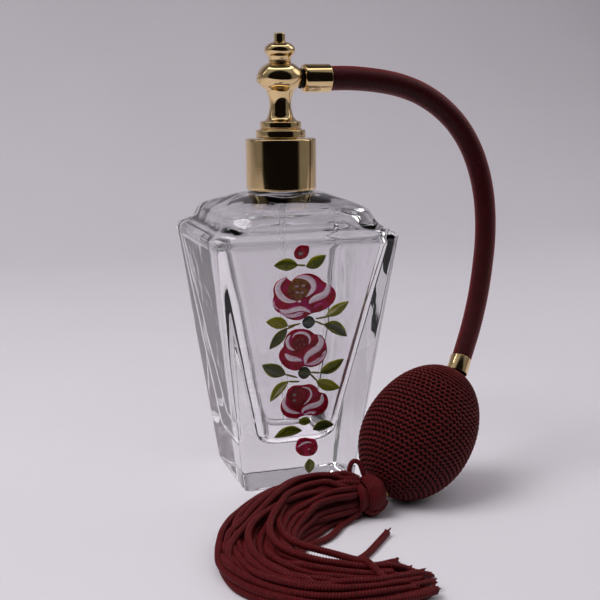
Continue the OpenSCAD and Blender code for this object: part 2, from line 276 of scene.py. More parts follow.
bulb_place = (
    Matrix.Translation(bulb_at) @ Matrix.Rotation(bulb_turn, 4, "Z") @ Matrix.Rotation(bulb_lean, 4, "Y")
)
neck_place = (
    Matrix.Translation(neck_at) @ Matrix.Rotation(neck_turn, 4, "Z") @ Matrix.Rotation(neck_lean, 4, "Y")
)


# ---------- camera, stage and light ----------


def add_camera():
    """The view from a little to the left, 11 degrees down, a hand's length and a half away."""
    bearing, pan, pitch, roll = (math.radians(a) for a in (16.56, 0.93, 10.94, -0.52))
    distance, height = 0.3406, 0.12215
    yaw = bearing + pan
    ahead = Vector(
        (math.sin(yaw) * math.cos(pitch), math.cos(yaw) * math.cos(pitch), -math.sin(pitch))
    )
    level = Vector((math.cos(yaw), -math.sin(yaw), 0))
    upright = level.cross(ahead)
    right = math.cos(roll) * level + math.sin(roll) * upright
    up = math.cos(roll) * upright - math.sin(roll) * level
    data = bpy.data.cameras.new("camera")
    data.lens, data.sensor_width = 65.07, 36
    data.clip_start, data.clip_end = 0.01, 20
    camera = bpy.data.objects.new("camera", data)
    turn = Matrix((right, up, -ahead)).transposed().to_4x4()
    camera.matrix_world = (
        Matrix.Translation((-distance * math.sin(bearing), -distance * math.cos(bearing), height)) @ turn
    )
    bpy.context.scene.collection.objects.link(camera)
    bpy.context.scene.camera = camera


def new_material(name):
    """An empty node material and its tree."""
    material = bpy.data.materials.new(name)
    material.use_nodes = True
    material.node_tree.nodes.clear()
    return material, material.node_tree


def finish_material(tree, settings, links=None):
    """Ends a tree with one Principled shader."""
    shader = add_node(tree, "ShaderNodeBsdfPrincipled", {**settings, **(links or {})})
    add_node(tree, "ShaderNodeOutputMaterial", {"Surface": shader.outputs["BSDF"]})


def stage_paper():
    """Matt backdrop paper: pale warm grey, with a faint uneven tooth."""
    material, tree = new_material("matt_backdrop_paper")
    place = add_node(tree, "ShaderNodeTexCoord").outputs["Object"]
    mottle = add_node(tree, "ShaderNodeTexNoise", {"Vector": place, "Scale": 9.0, "Detail": 3.0})
    tone = add_node(
        tree, "ShaderNodeMix",
        {0: mottle.outputs["Fac"], 6: srgb("#D9D3DA"), 7: srgb("#DFDAE0")}, data_type="RGBA",
    )
    finish_material(
        tree, {"Roughness": 0.62, "Specular IOR Level": 0.3}, {"Base Color": tone.outputs[2]}
    )
    return material


def add_stage():
    """A pale floor that sweeps up into a wall well behind the bottle."""
    front_edge, bend_start, bend_r, wall_top, reach = -0.24, 0.50, 0.30, 1.6, 1.6
    profile = [(front_edge, 0.0), (0.0, 0.0), (bend_start, 0.0)]
    for a in np.radians(np.linspace(4, 90, 20)):
        profile.append((bend_start + bend_r * math.sin(a), bend_r * (1 - math.cos(a))))
    profile.append((bend_start + bend_r, wall_top))
    widths = np.linspace(-reach, reach, 9)
    points = [(x, y, z) for y, z in profile for x in widths]
    floor = make_piece("backdrop", points, grid_faces(len(profile), len(widths), closed=False), stage_paper())


def add_world():
    """A dim studio: pale walls, a dark room behind the camera, a ring light and panels for mirrors."""
    world = bpy.data.worlds.new("studio")
    bpy.context.scene.world = world
    world.use_nodes = True
    tree = world.node_tree
    tree.nodes.clear()
    toward = add_node(tree, "ShaderNodeTexCoord").outputs["Generated"]
    height = add_node(tree, "ShaderNodeSeparateXYZ", {0: toward}).outputs["Z"]

    def nearness(direction):
        return add_node(tree, "ShaderNodeVectorMath", {0: toward, 1: direction},
                        operation="DOT_PRODUCT").outputs[1]

    def step(value, start, end, low=0.0, high=1.0):
        limits = {0: value, 1: start, 2: end, 3: low, 4: high}
        return add_node(tree, "ShaderNodeMapRange", limits, interpolation_type="SMOOTHSTEP").outputs[0]

    def product(a, b):
        return add_node(tree, "ShaderNodeMath", {0: a, 1: b}, operation="MULTIPLY").outputs[0]

    def blend(factor, a, b):
        return add_node(tree, "ShaderNodeMix", {0: factor, 6: a, 7: b}, data_type="RGBA").outputs[2]

    path = add_node(tree, "ShaderNodeLightPath").outputs
    facing = nearness((-0.30, -0.954, 0.0))
    brightness = step(height, 0.25, 0.8, 0.42, 1.5)
    walls = add_node(tree, "ShaderNodeVectorMath", {0: (0.98, 0.97, 1.0), 3: brightness},
                     operation="SCALE").outputs[0]
    dark = (0.012, 0.010, 0.010, 1)
    room = blend(product(step(facing, 0.40, 0.56), step(height, 0.66, 0.52)), walls, dark)

    mirrored = blend(step(height, 0.25, 0.8), (0.42, 0.41, 0.42, 1), (0.8, 0.8, 0.82, 1))
    mirrored = blend(product(step(facing, 0.36, 0.56), step(height, 0.985, 0.93)), mirrored, dark)
    ring_light, side_panels = (0.088, 0.297, 0.951), ((-0.685, 0.538, 0.49), (0.867, 0.076, 0.49))
    to_ring = nearness(ring_light)
    mirrored = blend(step(to_ring, 0.80, 0.83), mirrored, (5.0, 5.0, 5.0, 1))
    mirrored = blend(step(to_ring, 0.885, 0.91), mirrored, (0.12, 0.11, 0.11, 1))
    for panel in side_panels:
        mirrored = blend(step(nearness(panel), 0.93, 0.98), mirrored, (3.2, 3.2, 3.2, 1))

    through = blend(step(height, 0.0, -0.2), walls, (1.15, 1.13, 1.16, 1))
    through = blend(product(step(facing, 0.66, 0.82), step(height, 0.25, 0.05)), through, dark)

    shown = blend(path["Is Glossy Ray"], room, mirrored)
    shown = blend(path["Is Transmission Ray"], shown, through)
    shown = blend(path["Is Camera Ray"], shown, srgb("#C5BEC6"))
    background = add_node(tree, "ShaderNodeBackground", {"Color": shown, "Strength": 0.45})
    add_node(tree, "ShaderNodeOutputWorld", {"Surface": background.outputs[0]})


def add_lamp(name, place, target, size, power):
    """A soft square lamp that looks at a target. Metres and watts."""
    data = bpy.data.lights.new(name, "AREA")
    data.shape, data.size, data.energy = "SQUARE", size, power
    lamp = bpy.data.objects.new(name, data)
    lamp.location = place
    lamp.visible_glossy = False
    lamp.rotation_euler = (Vector(target) - Vector(place)).to_track_quat("-Z", "Y").to_euler()
    bpy.context.scene.collection.objects.link(lamp)


# ---------- materials ----------


def plated_gold():
    """Turned brass, polished and flash plated in light gold: mirror gloss with faint lathe and wipe marks."""
    material, tree = new_material("polished_light_gold_plate")
    place = add_node(tree, "ShaderNodeTexCoord").outputs["Object"]
    marks = add_node(tree, "ShaderNodeTexNoise", {"Vector": place, "Scale": 260.0, "Detail": 4.0})
    rough = add_node(tree, "ShaderNodeMapRange", {0: marks.outputs["Fac"], 3: 0.045, 4: 0.13}).outputs[0]
    squeezed = add_node(tree, "ShaderNodeMapping", {"Vector": place, "Scale": (60, 60, 4200)}).outputs[0]
    lathe = add_node(tree, "ShaderNodeTexNoise", {"Vector": squeezed, "Scale": 1.0, "Detail": 2.0})
    bump = add_node(
        tree, "ShaderNodeBump", {"Height": lathe.outputs["Fac"], "Strength": 0.05, "Distance": 0.00005}
    )
    tone = add_node(
        tree, "ShaderNodeMix",
        {0: marks.outputs["Fac"], 6: srgb("#DEBC84"), 7: srgb("#EAD2A2")}, data_type="RGBA",
    )
    finish_material(
        tree, {"Metallic": 1.0},
        {"Base Color": tone.outputs[2], "Roughness": rough, "Normal": bump.outputs[0]},
    )
    return material


def raw_brass():
    """Turned brass left unplated: duller yellow, with visible tool lines."""
    material, tree = new_material("turned_unplated_brass")
    place = add_node(tree, "ShaderNodeTexCoord").outputs["Object"]
    marks = add_node(tree, "ShaderNodeTexNoise", {"Vector": place, "Scale": 900.0, "Detail": 3.0})
    rough = add_node(tree, "ShaderNodeMapRange", {0: marks.outputs["Fac"], 3: 0.22, 4: 0.38}).outputs[0]
    tone = add_node(
        tree, "ShaderNodeMix",
        {0: marks.outputs["Fac"], 6: srgb("#B8914A"), 7: srgb("#D9B468")}, data_type="RGBA",
    )
    bump = add_node(
        tree, "ShaderNodeBump", {"Height": marks.outputs["Fac"], "Strength": 0.2, "Distance": 0.00003}
    )
    finish_material(
        tree, {"Metallic": 1.0},
        {"Base Color": tone.outputs[2], "Roughness": rough, "Normal": bump.outputs[0]},
    )
    return material


def polished_steel():
    """Ground and polished steel ball: bright neutral mirror with a trace of grinding haze."""
    material, tree = new_material("polished_steel")
    place = add_node(tree, "ShaderNodeTexCoord").outputs["Object"]
    haze = add_node(tree, "ShaderNodeTexNoise", {"Vector": place, "Scale": 1500.0})
    rough = add_node(tree, "ShaderNodeMapRange", {0: haze.outputs["Fac"], 3: 0.08, 4: 0.16}).outputs[0]
    finish_material(tree, {"Metallic": 1.0, "Base Color": srgb("#C9CACC")}, {"Roughness": rough})
    return material


def soft_compound(name, dark, light, scale, roughness, specular, bump_mm):
    """Moulded or dipped rubber and plastic: an even body colour with a fine matt skin."""
    material, tree = new_material(name)
    place = add_node(tree, "ShaderNodeTexCoord").outputs["Object"]
    skin = add_node(tree, "ShaderNodeTexNoise", {"Vector": place, "Scale": scale, "Detail": 4.0})
    tone = add_node(
        tree, "ShaderNodeMix", {0: skin.outputs["Fac"], 6: srgb(dark), 7: srgb(light)}, data_type="RGBA"
    )
    rough = add_node(
        tree, "ShaderNodeMapRange", {0: skin.outputs["Fac"], 3: roughness - 0.07, 4: roughness + 0.07}
    ).outputs[0]
    bump = add_node(
        tree, "ShaderNodeBump",
        {"Height": skin.outputs["Fac"], "Strength": 0.4, "Distance": bump_mm * MM},
    )
    finish_material(
        tree, {"Specular IOR Level": specular, "IOR": 1.5},
        {"Base Color": tone.outputs[2], "Roughness": rough, "Normal": bump.outputs[0]},
    )
    return material


def pressed_glass():
    """Soda-lime glass, pressed and fire polished: colourless, with slow ripples left by the mould."""
    material, tree = new_material("fire_polished_pressed_glass")
    place = add_node(tree, "ShaderNodeTexCoord").outputs["Object"]
    height = add_node(tree, "ShaderNodeSeparateXYZ", {0: place}).outputs["Z"]
    strength = add_node(tree, "ShaderNodeMapRange",
                        {0: height, 1: 0.080, 2: 0.086, 3: 0.25, 4: 0.8}).outputs[0]
    ripple = add_node(tree, "ShaderNodeTexNoise", {"Vector": place, "Scale": 110.0, "Detail": 1.5})
    bump = add_node(
        tree, "ShaderNodeBump", {"Height": ripple.outputs["Fac"], "Strength": strength, "Distance": 0.0004}
    )
    finish_material(
        tree,
        {"Base Color": srgb("#F4F3F5"), "Roughness": 0.0, "IOR": 1.52, "Transmission Weight": 1.0},
        {"Normal": bump.outputs[0]},
    )
    return material


def clear_tube():
    """Extruded low-density polyethylene tube: milky and translucent with a soft gloss."""
    material, tree = new_material("extruded_polyethylene_tube")
    place = add_node(tree, "ShaderNodeTexCoord").outputs["Object"]
    drawn = add_node(tree, "ShaderNodeMapping", {"Vector": place, "Scale": (1500, 1500, 40)}).outputs[0]
    lines = add_node(tree, "ShaderNodeTexNoise", {"Vector": drawn, "Scale": 1.0, "Detail": 2.0})
    rough = add_node(tree, "ShaderNodeMapRange", {0: lines.outputs["Fac"], 3: 0.08, 4: 0.2}).outputs[0]
    finish_material(
        tree,
        {"Base Color": srgb("#FFFFFF"), "IOR": 1.25, "Transmission Weight": 0.97},
        {"Roughness": rough},
    )
    return material


def yarn(name, groove, crest, roughness, painted_sheen=0.0):
    """Viscose thread with painted shade and a painted sheen: darkest between the plies, lighter where "crest"
    is high, and brighter seen aslant.
    """
    material, tree = new_material(name)
    place = add_node(tree, "ShaderNodeTexCoord").outputs["Object"]
    crest_height = add_node(tree, "ShaderNodeAttribute", attribute_name="crest").outputs["Fac"]
    fibres = add_node(tree, "ShaderNodeTexNoise", {"Vector": place, "Scale": 900.0, "Detail": 3.0})
    uneven = add_node(tree, "ShaderNodeMapRange", {0: fibres.outputs["Fac"], 1: 0.3, 2: 0.7, 3: 0.72, 4: 1.2})
    raised = add_node(
        tree, "ShaderNodeMath", {0: crest_height, 1: uneven.outputs[0]}, operation="MULTIPLY", use_clamp=True
    ).outputs[0]
    # Painted shade: the groove colour darkens the thread where "crest" is low, in the hollows between plies,
    # loops and ribs.
    tone = add_node(tree, "ShaderNodeMix", {0: raised, 6: srgb(groove), 7: srgb(crest)}, data_type="RGBA")
    # Painted sheen: the colour is scaled brighter where the surface is seen aslant, by the sheen amount.
    turned_away = add_node(tree, "ShaderNodeLayerWeight", {"Blend": 0.5}).outputs["Facing"]
    painted_sheen_gain = add_node(
        tree, "ShaderNodeMapRange", {0: turned_away, 1: 0.2, 2: 0.75, 3: 1 - painted_sheen, 4: 1 + painted_sheen}
    ).outputs[0]
    tone = add_node(tree, "ShaderNodeVectorMath", {0: tone.outputs[2], 3: painted_sheen_gain}, operation="SCALE")
    bump = add_node(
        tree, "ShaderNodeBump",
        {"Height": fibres.outputs["Fac"], "Strength": 0.5, "Distance": 0.0001},
    )
    finish_material(
        tree,
        {"Roughness": roughness, "Specular IOR Level": 0.2, "Sheen Weight": 0.08, "Sheen Roughness": 0.45,
         "Sheen Tint": srgb("#D98A88")},
        {"Base Color": tone.outputs[0], "Normal": bump.outputs[0]},
    )
    return material


def glass_paint():
    """Solvent glass enamel laid on by brush: soft gloss over streaked colour, read from "paint"."""
    material, tree = new_material("brushed_glass_enamel")
    place = add_node(tree, "ShaderNodeTexCoord").outputs["Object"]
    colour = add_node(tree, "ShaderNodeAttribute", attribute_name="paint").outputs["Color"]
    cloud = add_node(tree, "ShaderNodeTexNoise", {"Vector": place, "Scale": 1100.0, "Detail": 2.0})
    shade = add_node(tree, "ShaderNodeMapRange", {0: cloud.outputs["Fac"], 1: 0.3, 2: 0.7, 3: 0.98, 4: 1.2})
    mixed = add_node(tree, "ShaderNodeVectorMath", {0: colour, 3: shade.outputs[0]}, operation="SCALE")
    bump = add_node(
        tree, "ShaderNodeBump", {"Height": cloud.outputs["Fac"], "Strength": 0.3, "Distance": 0.0001}
    )
    finish_material(
        tree,
        {"Roughness": 0.25, "Specular IOR Level": 0.18, "Coat Weight": 0.06, "Coat Roughness": 0.08},
        {"Base Color": mixed.outputs[0], "Normal": bump.outputs[0]},
    )
    return material


# ---------- hose ----------


def braided_hose():
    """A tube whose surface is two sets of yarns that wind both ways and pass over and under each other."""
    around, yarns, row, depth = 128, 16, 0.95, 0.2
    path = smooth_path(hose_route, 0.2)
    up, side = carried_frames(path, (0, 1, 0))
    along = np.linspace(0, path_length(path), len(path))
    share = along / along[-1]
    radius = 3.9 + (3.1 - 3.9) * share
    turn = np.linspace(0, 1, around, endpoint=False)
    first = turn[None, :] * yarns + along[:, None] / row
    second = turn[None, :] * yarns - along[:, None] / row
    ridge_a = np.cos(np.pi * (first - np.round(first))) ** 2
    ridge_b = np.cos(np.pi * (second - np.round(second))) ** 2
    over_a = 0.5 + 0.5 * np.cos(np.pi * second) * np.cos(np.pi * np.round(first))
    over_b = 0.5 - 0.5 * np.cos(np.pi * first) * np.cos(np.pi * np.round(second))
    crest = np.maximum(ridge_a * over_a, ridge_b * over_b)
    reach = radius[:, None] - depth * (1 - crest)
    angle = turn[None, :, None] * 2 * math.pi
    points = path[:, None] + reach[..., None] * (
        up[:, None] * np.cos(angle) + side[:, None] * np.sin(angle)
    )
    faces = grid_faces(len(path), around)
    faces.append(tuple(range(around))[::-1])
    faces.append(tuple(range((len(path) - 1) * around, len(path) * around)))
    # The first colour is painted shade in the braid's grooves and under its crossings; the hose also gets a
    # painted sheen seen aslant.
    material = yarn("braided_viscose_sleeve", "#0A0001", "#7E1B22", roughness=0.42, painted_sheen=0.62)
    hose = make_piece("braided_hose", points.reshape(-1, 3) * MM, faces, material)
    store(hose, "crest", crest)
    return hose, path


# ---------- glass ----------


def square_ring(half, corner, z):
    """A ring of a square with round corners. Its flats have points close to both ends, so they shade flat."""
    inner, arc_points = half - corner, 11
    shares = np.concatenate([[0.04], np.linspace(0.12, 0.88, 7), [0.96]])
    ring = []
    for quarter in range(4):
        start = math.pi / 2 * quarter
        centre = np.array((math.cos(start + math.pi / 4),
                           math.sin(start + math.pi / 4))) * inner * math.sqrt(2)
        for a in np.linspace(start, start + math.pi / 2, arc_points):
            ring.append(centre + corner * np.array((math.cos(a), math.sin(a))))
        last = ring[-1]
        turn = Matrix.Rotation(math.pi / 2, 2)
        following = np.array(turn @ Vector(centre)) + corner * np.array(
            (math.cos(start + math.pi / 2), math.sin(start + math.pi / 2))
        )
        ring.extend(last + (following - last) * s for s in shares)
    return np.array([(x, y, z) for x, y in ring])


def stations(corners, longest=3.0):
    """Rings' (half, corner radius, height) along a profile whose corners are (half, corner, z, fillet)."""
    outline = filleted([(c[0], c[2], c[3]) for c in corners], 5)
    spots = np.array([(c[0], c[2]) for c in corners])
    travel = np.concatenate([[0], np.cumsum(np.linalg.norm(np.diff(spots, axis=0), axis=1))])
    dense = [outline[0]]
    for point in outline[1:]:
        gap = math.dist(point, dense[-1])
        if gap < 1e-6:
            continue
        count = max(1, math.ceil(gap / longest))
        before = dense[-1]
        shares = [s / count for s in range(1, count + 1)]
        if count > 1:
            shares = [0.3 / gap] + shares[:-1] + [1 - 0.3 / gap, 1.0]
        dense.extend(
            (before[0] + (point[0] - before[0]) * s, before[1] + (point[1] - before[1]) * s) for s in shares
        )
    walked = np.concatenate([[0], np.cumsum([math.dist(a, b) for a, b in zip(dense, dense[1:])])])
    walked *= travel[-1] / walked[-1]
    corner = np.interp(walked, travel, [c[1] for c in corners])
    return [(h, min(c, h - 0.02), z) for (h, z), c in zip(dense, corner)]


def thread_rise(angle, z):
    """How far the neck's screw ridge stands out at an angle and height, in mm."""
    pitch, turns, low, start = 3.175, 1.5, 95.4, math.radians(20)
    turned_by = ((angle - start) / (2 * math.pi)) % 1
    rise = 0.0
    for whole in range(2):
        t = turned_by + whole
        if t <= turns:
            off = abs(z - (low + pitch * t))
            ends = min(1, min(t, turns - t) * 12)
            rise = max(rise, 0.9 * ends * float(ease(0.95 - off, 0, 0.55)))
    return rise


def glass_bottle():
    """The bottle as one closed wall: outside, threaded neck, rim, bore, and the hollow inside."""
    outside = stations([
        (4, 1, 0.35, 0), (13.5, 1.4, 0.35, 1), (14.6, 1.5, 0, 0.6), (18.02, 2.0, 0, 0.9),
        (28.66, 2.4, shoulder_z, 1.0), (24.3, 5, 82.4, 1.2), (22.9, 7, 86.3, 1.3), (21.6, 8, 87.3, 1.0),
        (17, 9.2, 89.2, 3), (13, 10, 90.8, 3), (9.2, 9.1, 91.4, 1.6), (7.9, 7.88, 92.6, 0.8),
    ])
    neck = [(7.9, 7.88, z) for z in np.arange(93.2, rim_z - 0.5, 0.3)]
    inside = stations([
        (7.9, 7.88, rim_z - 0.6, 0), (7.9, 7.88, rim_z, 0.4), (5.1, 5.08, rim_z, 0.5), (5.1, 5.08, 89.6, 1.2),
        (10.4, 9.6, 88.9, 2), (15, 9.4, 87.9, 3), (19.3, 9, 86.2, 1.5), (21, 8, 85, 1.5),
        (22.6, 7, 81.6, 1.5),
        (25.6, 6, 80, 1.5), (26.6, 6, 77.6, 2), (13.9, 6, 20, 2.5), (12.6, 5.5, 15.6, 2.2),
        (9.5, 4.5, 13.6, 1.5), (3, 1.5, 13.4, 0),
    ], longest=2.5)
    rings = []
    for half, corner, z in outside + neck:
        ring = square_ring(half, corner, z)
        if z > 94:
            for point in ring:
                reach = math.hypot(point[0], point[1])
                point[:2] *= 1 + thread_rise(math.atan2(point[1], point[0]), z) / reach
        rings.append(ring)
    for half, corner, z in inside:
        ring = square_ring(half, corner, z)
        if z < 88:
            for point in ring:
                wave = noise.noise(Vector(point) / 14) * 0.22
                point[:2] *= 1 + wave / max(half, 5)
        rings.append(ring)
    around = len(rings[0])
    points = np.concatenate(rings)
    faces = grid_faces(len(rings), around)
    points = np.vstack([points, [(0, 0, 0.35)], [(0, 0, 13.4)]])
    base, floor = len(points) - 2, len(points) - 1
    last = (len(rings) - 1) * around
    for j in range(around):
        k = (j + 1) % around
        faces.append((k, j, base))
        faces.append((last + j, last + k, floor))
    bottle = make_piece("glass_wall", points * MM, faces, pressed_glass())
    bottle.visible_shadow = False
    return bottle


# ---------- painted flowers ----------

CRIMSON, DEEP, MAGENTA, BLUSH = "#9E0D26", "#6E0818", "#9C1450", "#F0E3EA"
OLIVE, MOSS = "#6B6B14", "#3F4710"


class PaintSheet:
    """Collects brush strokes on the slanted front face as closed, domed patches, coloured point by point."""

    def __init__(self):
        self.points, self.faces, self.colours = [], [], []

    def spot(self, x, up, lift):
        """A place on the face: x along it, up its slope from the base, lift off the glass, in mm."""
        return (
            x,
            -(base_half - 0.08) - up * math.sin(face_slope) - lift * math.cos(face_slope),
            up * math.cos(face_slope) - lift * math.sin(face_slope),
        )

    def stroke(self, spine, half_width, bands, layer=0, thick=0.32, blunt=0.5, streak=0.25, belly=0.5):
        """One pull of a loaded brush. bands are (place across from -1 to 1, hex), drawn out into streaks."""
        path = smooth_path([(x, up, 0) for x, up in spine], path_length(np.array(spine, float)) / 26)[:, :2]
        count, across = len(path), 15
        run = np.linspace(0, 1, count)
        direction = unit(np.gradient(path, axis=0))
        aside = np.stack([-direction[:, 1], direction[:, 0]], 1)
        swell = np.where(run < belly, run / belly, (1 - run) / (1 - belly))
        widths = half_width * np.maximum(np.sin(swell * math.pi / 2) ** blunt, 0.03)
        v = np.linspace(-1, 1, across)
        first = len(self.points)
        stops = [b[0] for b in bands]
        shades = np.array([srgb(b[1])[:3] for b in bands])
        for side in (1, 0):
            for i in range(count):
                for j in range(across):
                    x, up = path[i] + aside[i] * widths[i] * v[j]
                    dome = math.sqrt(max(0, 1 - v[j] ** 2)) * min(1, widths[i] / 0.6)
                    groove = noise.noise(Vector((x * 0.35, v[j] * 7, first * 0.13))) * 0.05
                    lift = 0.02 + 0.045 * layer + side * dome * (thick + groove)
                    self.points.append(self.spot(x, up, lift if side else 0.015))
                    drift = noise.noise(Vector((run[i] * 2.2, v[j] * 6.5, first * 0.37))) * streak * 2
                    drift += noise.noise(Vector((run[i] * 5, v[j] * 19, first * 0.71))) * streak
                    at = min(1, max(-1, v[j] + drift))
                    self.colours.append([*(np.interp(at, stops, shades[:, c]) for c in range(3)), 1.0])
        low = first + count * across
        for i in range(count - 1):
            for j in range(across - 1):
                a, b = first + i * across + j, low + i * across + j
                self.faces.append((a, a + across, a + across + 1, a + 1))
                self.faces.append((b, b + 1, b + across + 1, b + across))
            a, b = first + i * across, low + i * across
            self.faces.append((a, b, b + across, a + across))
            c, d = a + across - 1, b + across - 1
            self.faces.append((c, c + across, d + across, d))
        for j in range(across - 1):
            a, b = first + j, low + j
            self.faces.append((a, a + 1, b + 1, b))
            c, d = first + (count - 1) * across + j, low + (count - 1) * across + j
            self.faces.append((c, d, d + 1, c + 1))

    def blob(self, outline, colours, layer=0, thick=0.14):
        """A filled shape with rounded edges, its colours drawn out into one another."""
        loop = smooth_path([(x, up, 0) for x, up in outline + outline[:1]], 0.25)[:-1, :2]
        ahead = np.roll(loop, -1, axis=0)
        if (loop[:, 0] * ahead[:, 1] - ahead[:, 0] * loop[:, 1]).sum() < 0:
            loop = loop[::-1]
        count, middle, first = len(loop), loop.mean(0), len(self.points)
        shades = np.array([srgb(c)[:3] for c in colours])
        levels = ((1, None), (1, 0), (0.97, 0.6), (0.92, 0.9), (0.8, 1), (0.62, 1), (0.44, 1), (0.26, 1),
                  (0.1, 1))
        for size, rise in levels:
            for x, up in middle + (loop - middle) * size:
                lift = 0.015 if rise is None else 0.02 + 0.045 * layer + thick * rise
                self.points.append(self.spot(x, up, lift))
                mix = 0.5 + 1.1 * noise.noise(Vector((x * 0.45, up * 0.45, first * 0.17)))
                mix += 0.5 * noise.noise(Vector((x * 2.1, up * 1.3, first * 0.31)))
                at = min(1, max(0, mix)) * (len(colours) - 1)
                self.colours.append([*(np.interp(at, range(len(colours)), shades[:, c]) for c in range(3)),
                                     1.0])
        for i in range(len(levels) - 1):
            for j in range(count):
                a, b = first + i * count + j, first + i * count + (j + 1) % count
                self.faces.append((a, b, b + count, a + count))
        last = first + (len(levels) - 1) * count
        self.faces.append(tuple(range(last, last + count)))
        self.faces.append(tuple(range(first + count - 1, first - 1, -1)))

    def dab(self, x, up, half_x, half_up, colours, layer=0, thick=0.35):
        """A round touch of the brush tip, with its colours from the middle outwards."""
        bands = [(-1, colours[-1]), (0, colours[0]), (1, colours[-1])]
        spine = [(x - half_x, up), (x, up), (x + half_x, up)]
        self.stroke(spine, half_up, bands, layer, thick, blunt=0.55, streak=0.22)

    def leaf(self, stem, blade, half_width, dark=MOSS, light=OLIVE):
        """A fine stem and a pointed blade with a lighter side and yellowish rims."""
        if stem:
            self.stroke(stem, 0.33, [(-1, "#57520F"), (1, "#7C7424")], 0, 0.16, blunt=0.3)
        self.stroke(
            blade, half_width,
            [(-1, "#85801F"), (-0.75, dark), (-0.1, dark), (0.3, light), (0.6, dark), (1, "#85801F")],
            0, 0.3, blunt=0.8, streak=0.3, belly=0.45,
        )

    def piece(self):
        roses = make_piece("painted_roses", np.array(self.points) * MM, self.faces, glass_paint())
        layer = roses.data.color_attributes.new("paint", "FLOAT_COLOR", "POINT")
        layer.data.foreach_set("color", np.array(self.colours, np.float32).ravel())
        return roses


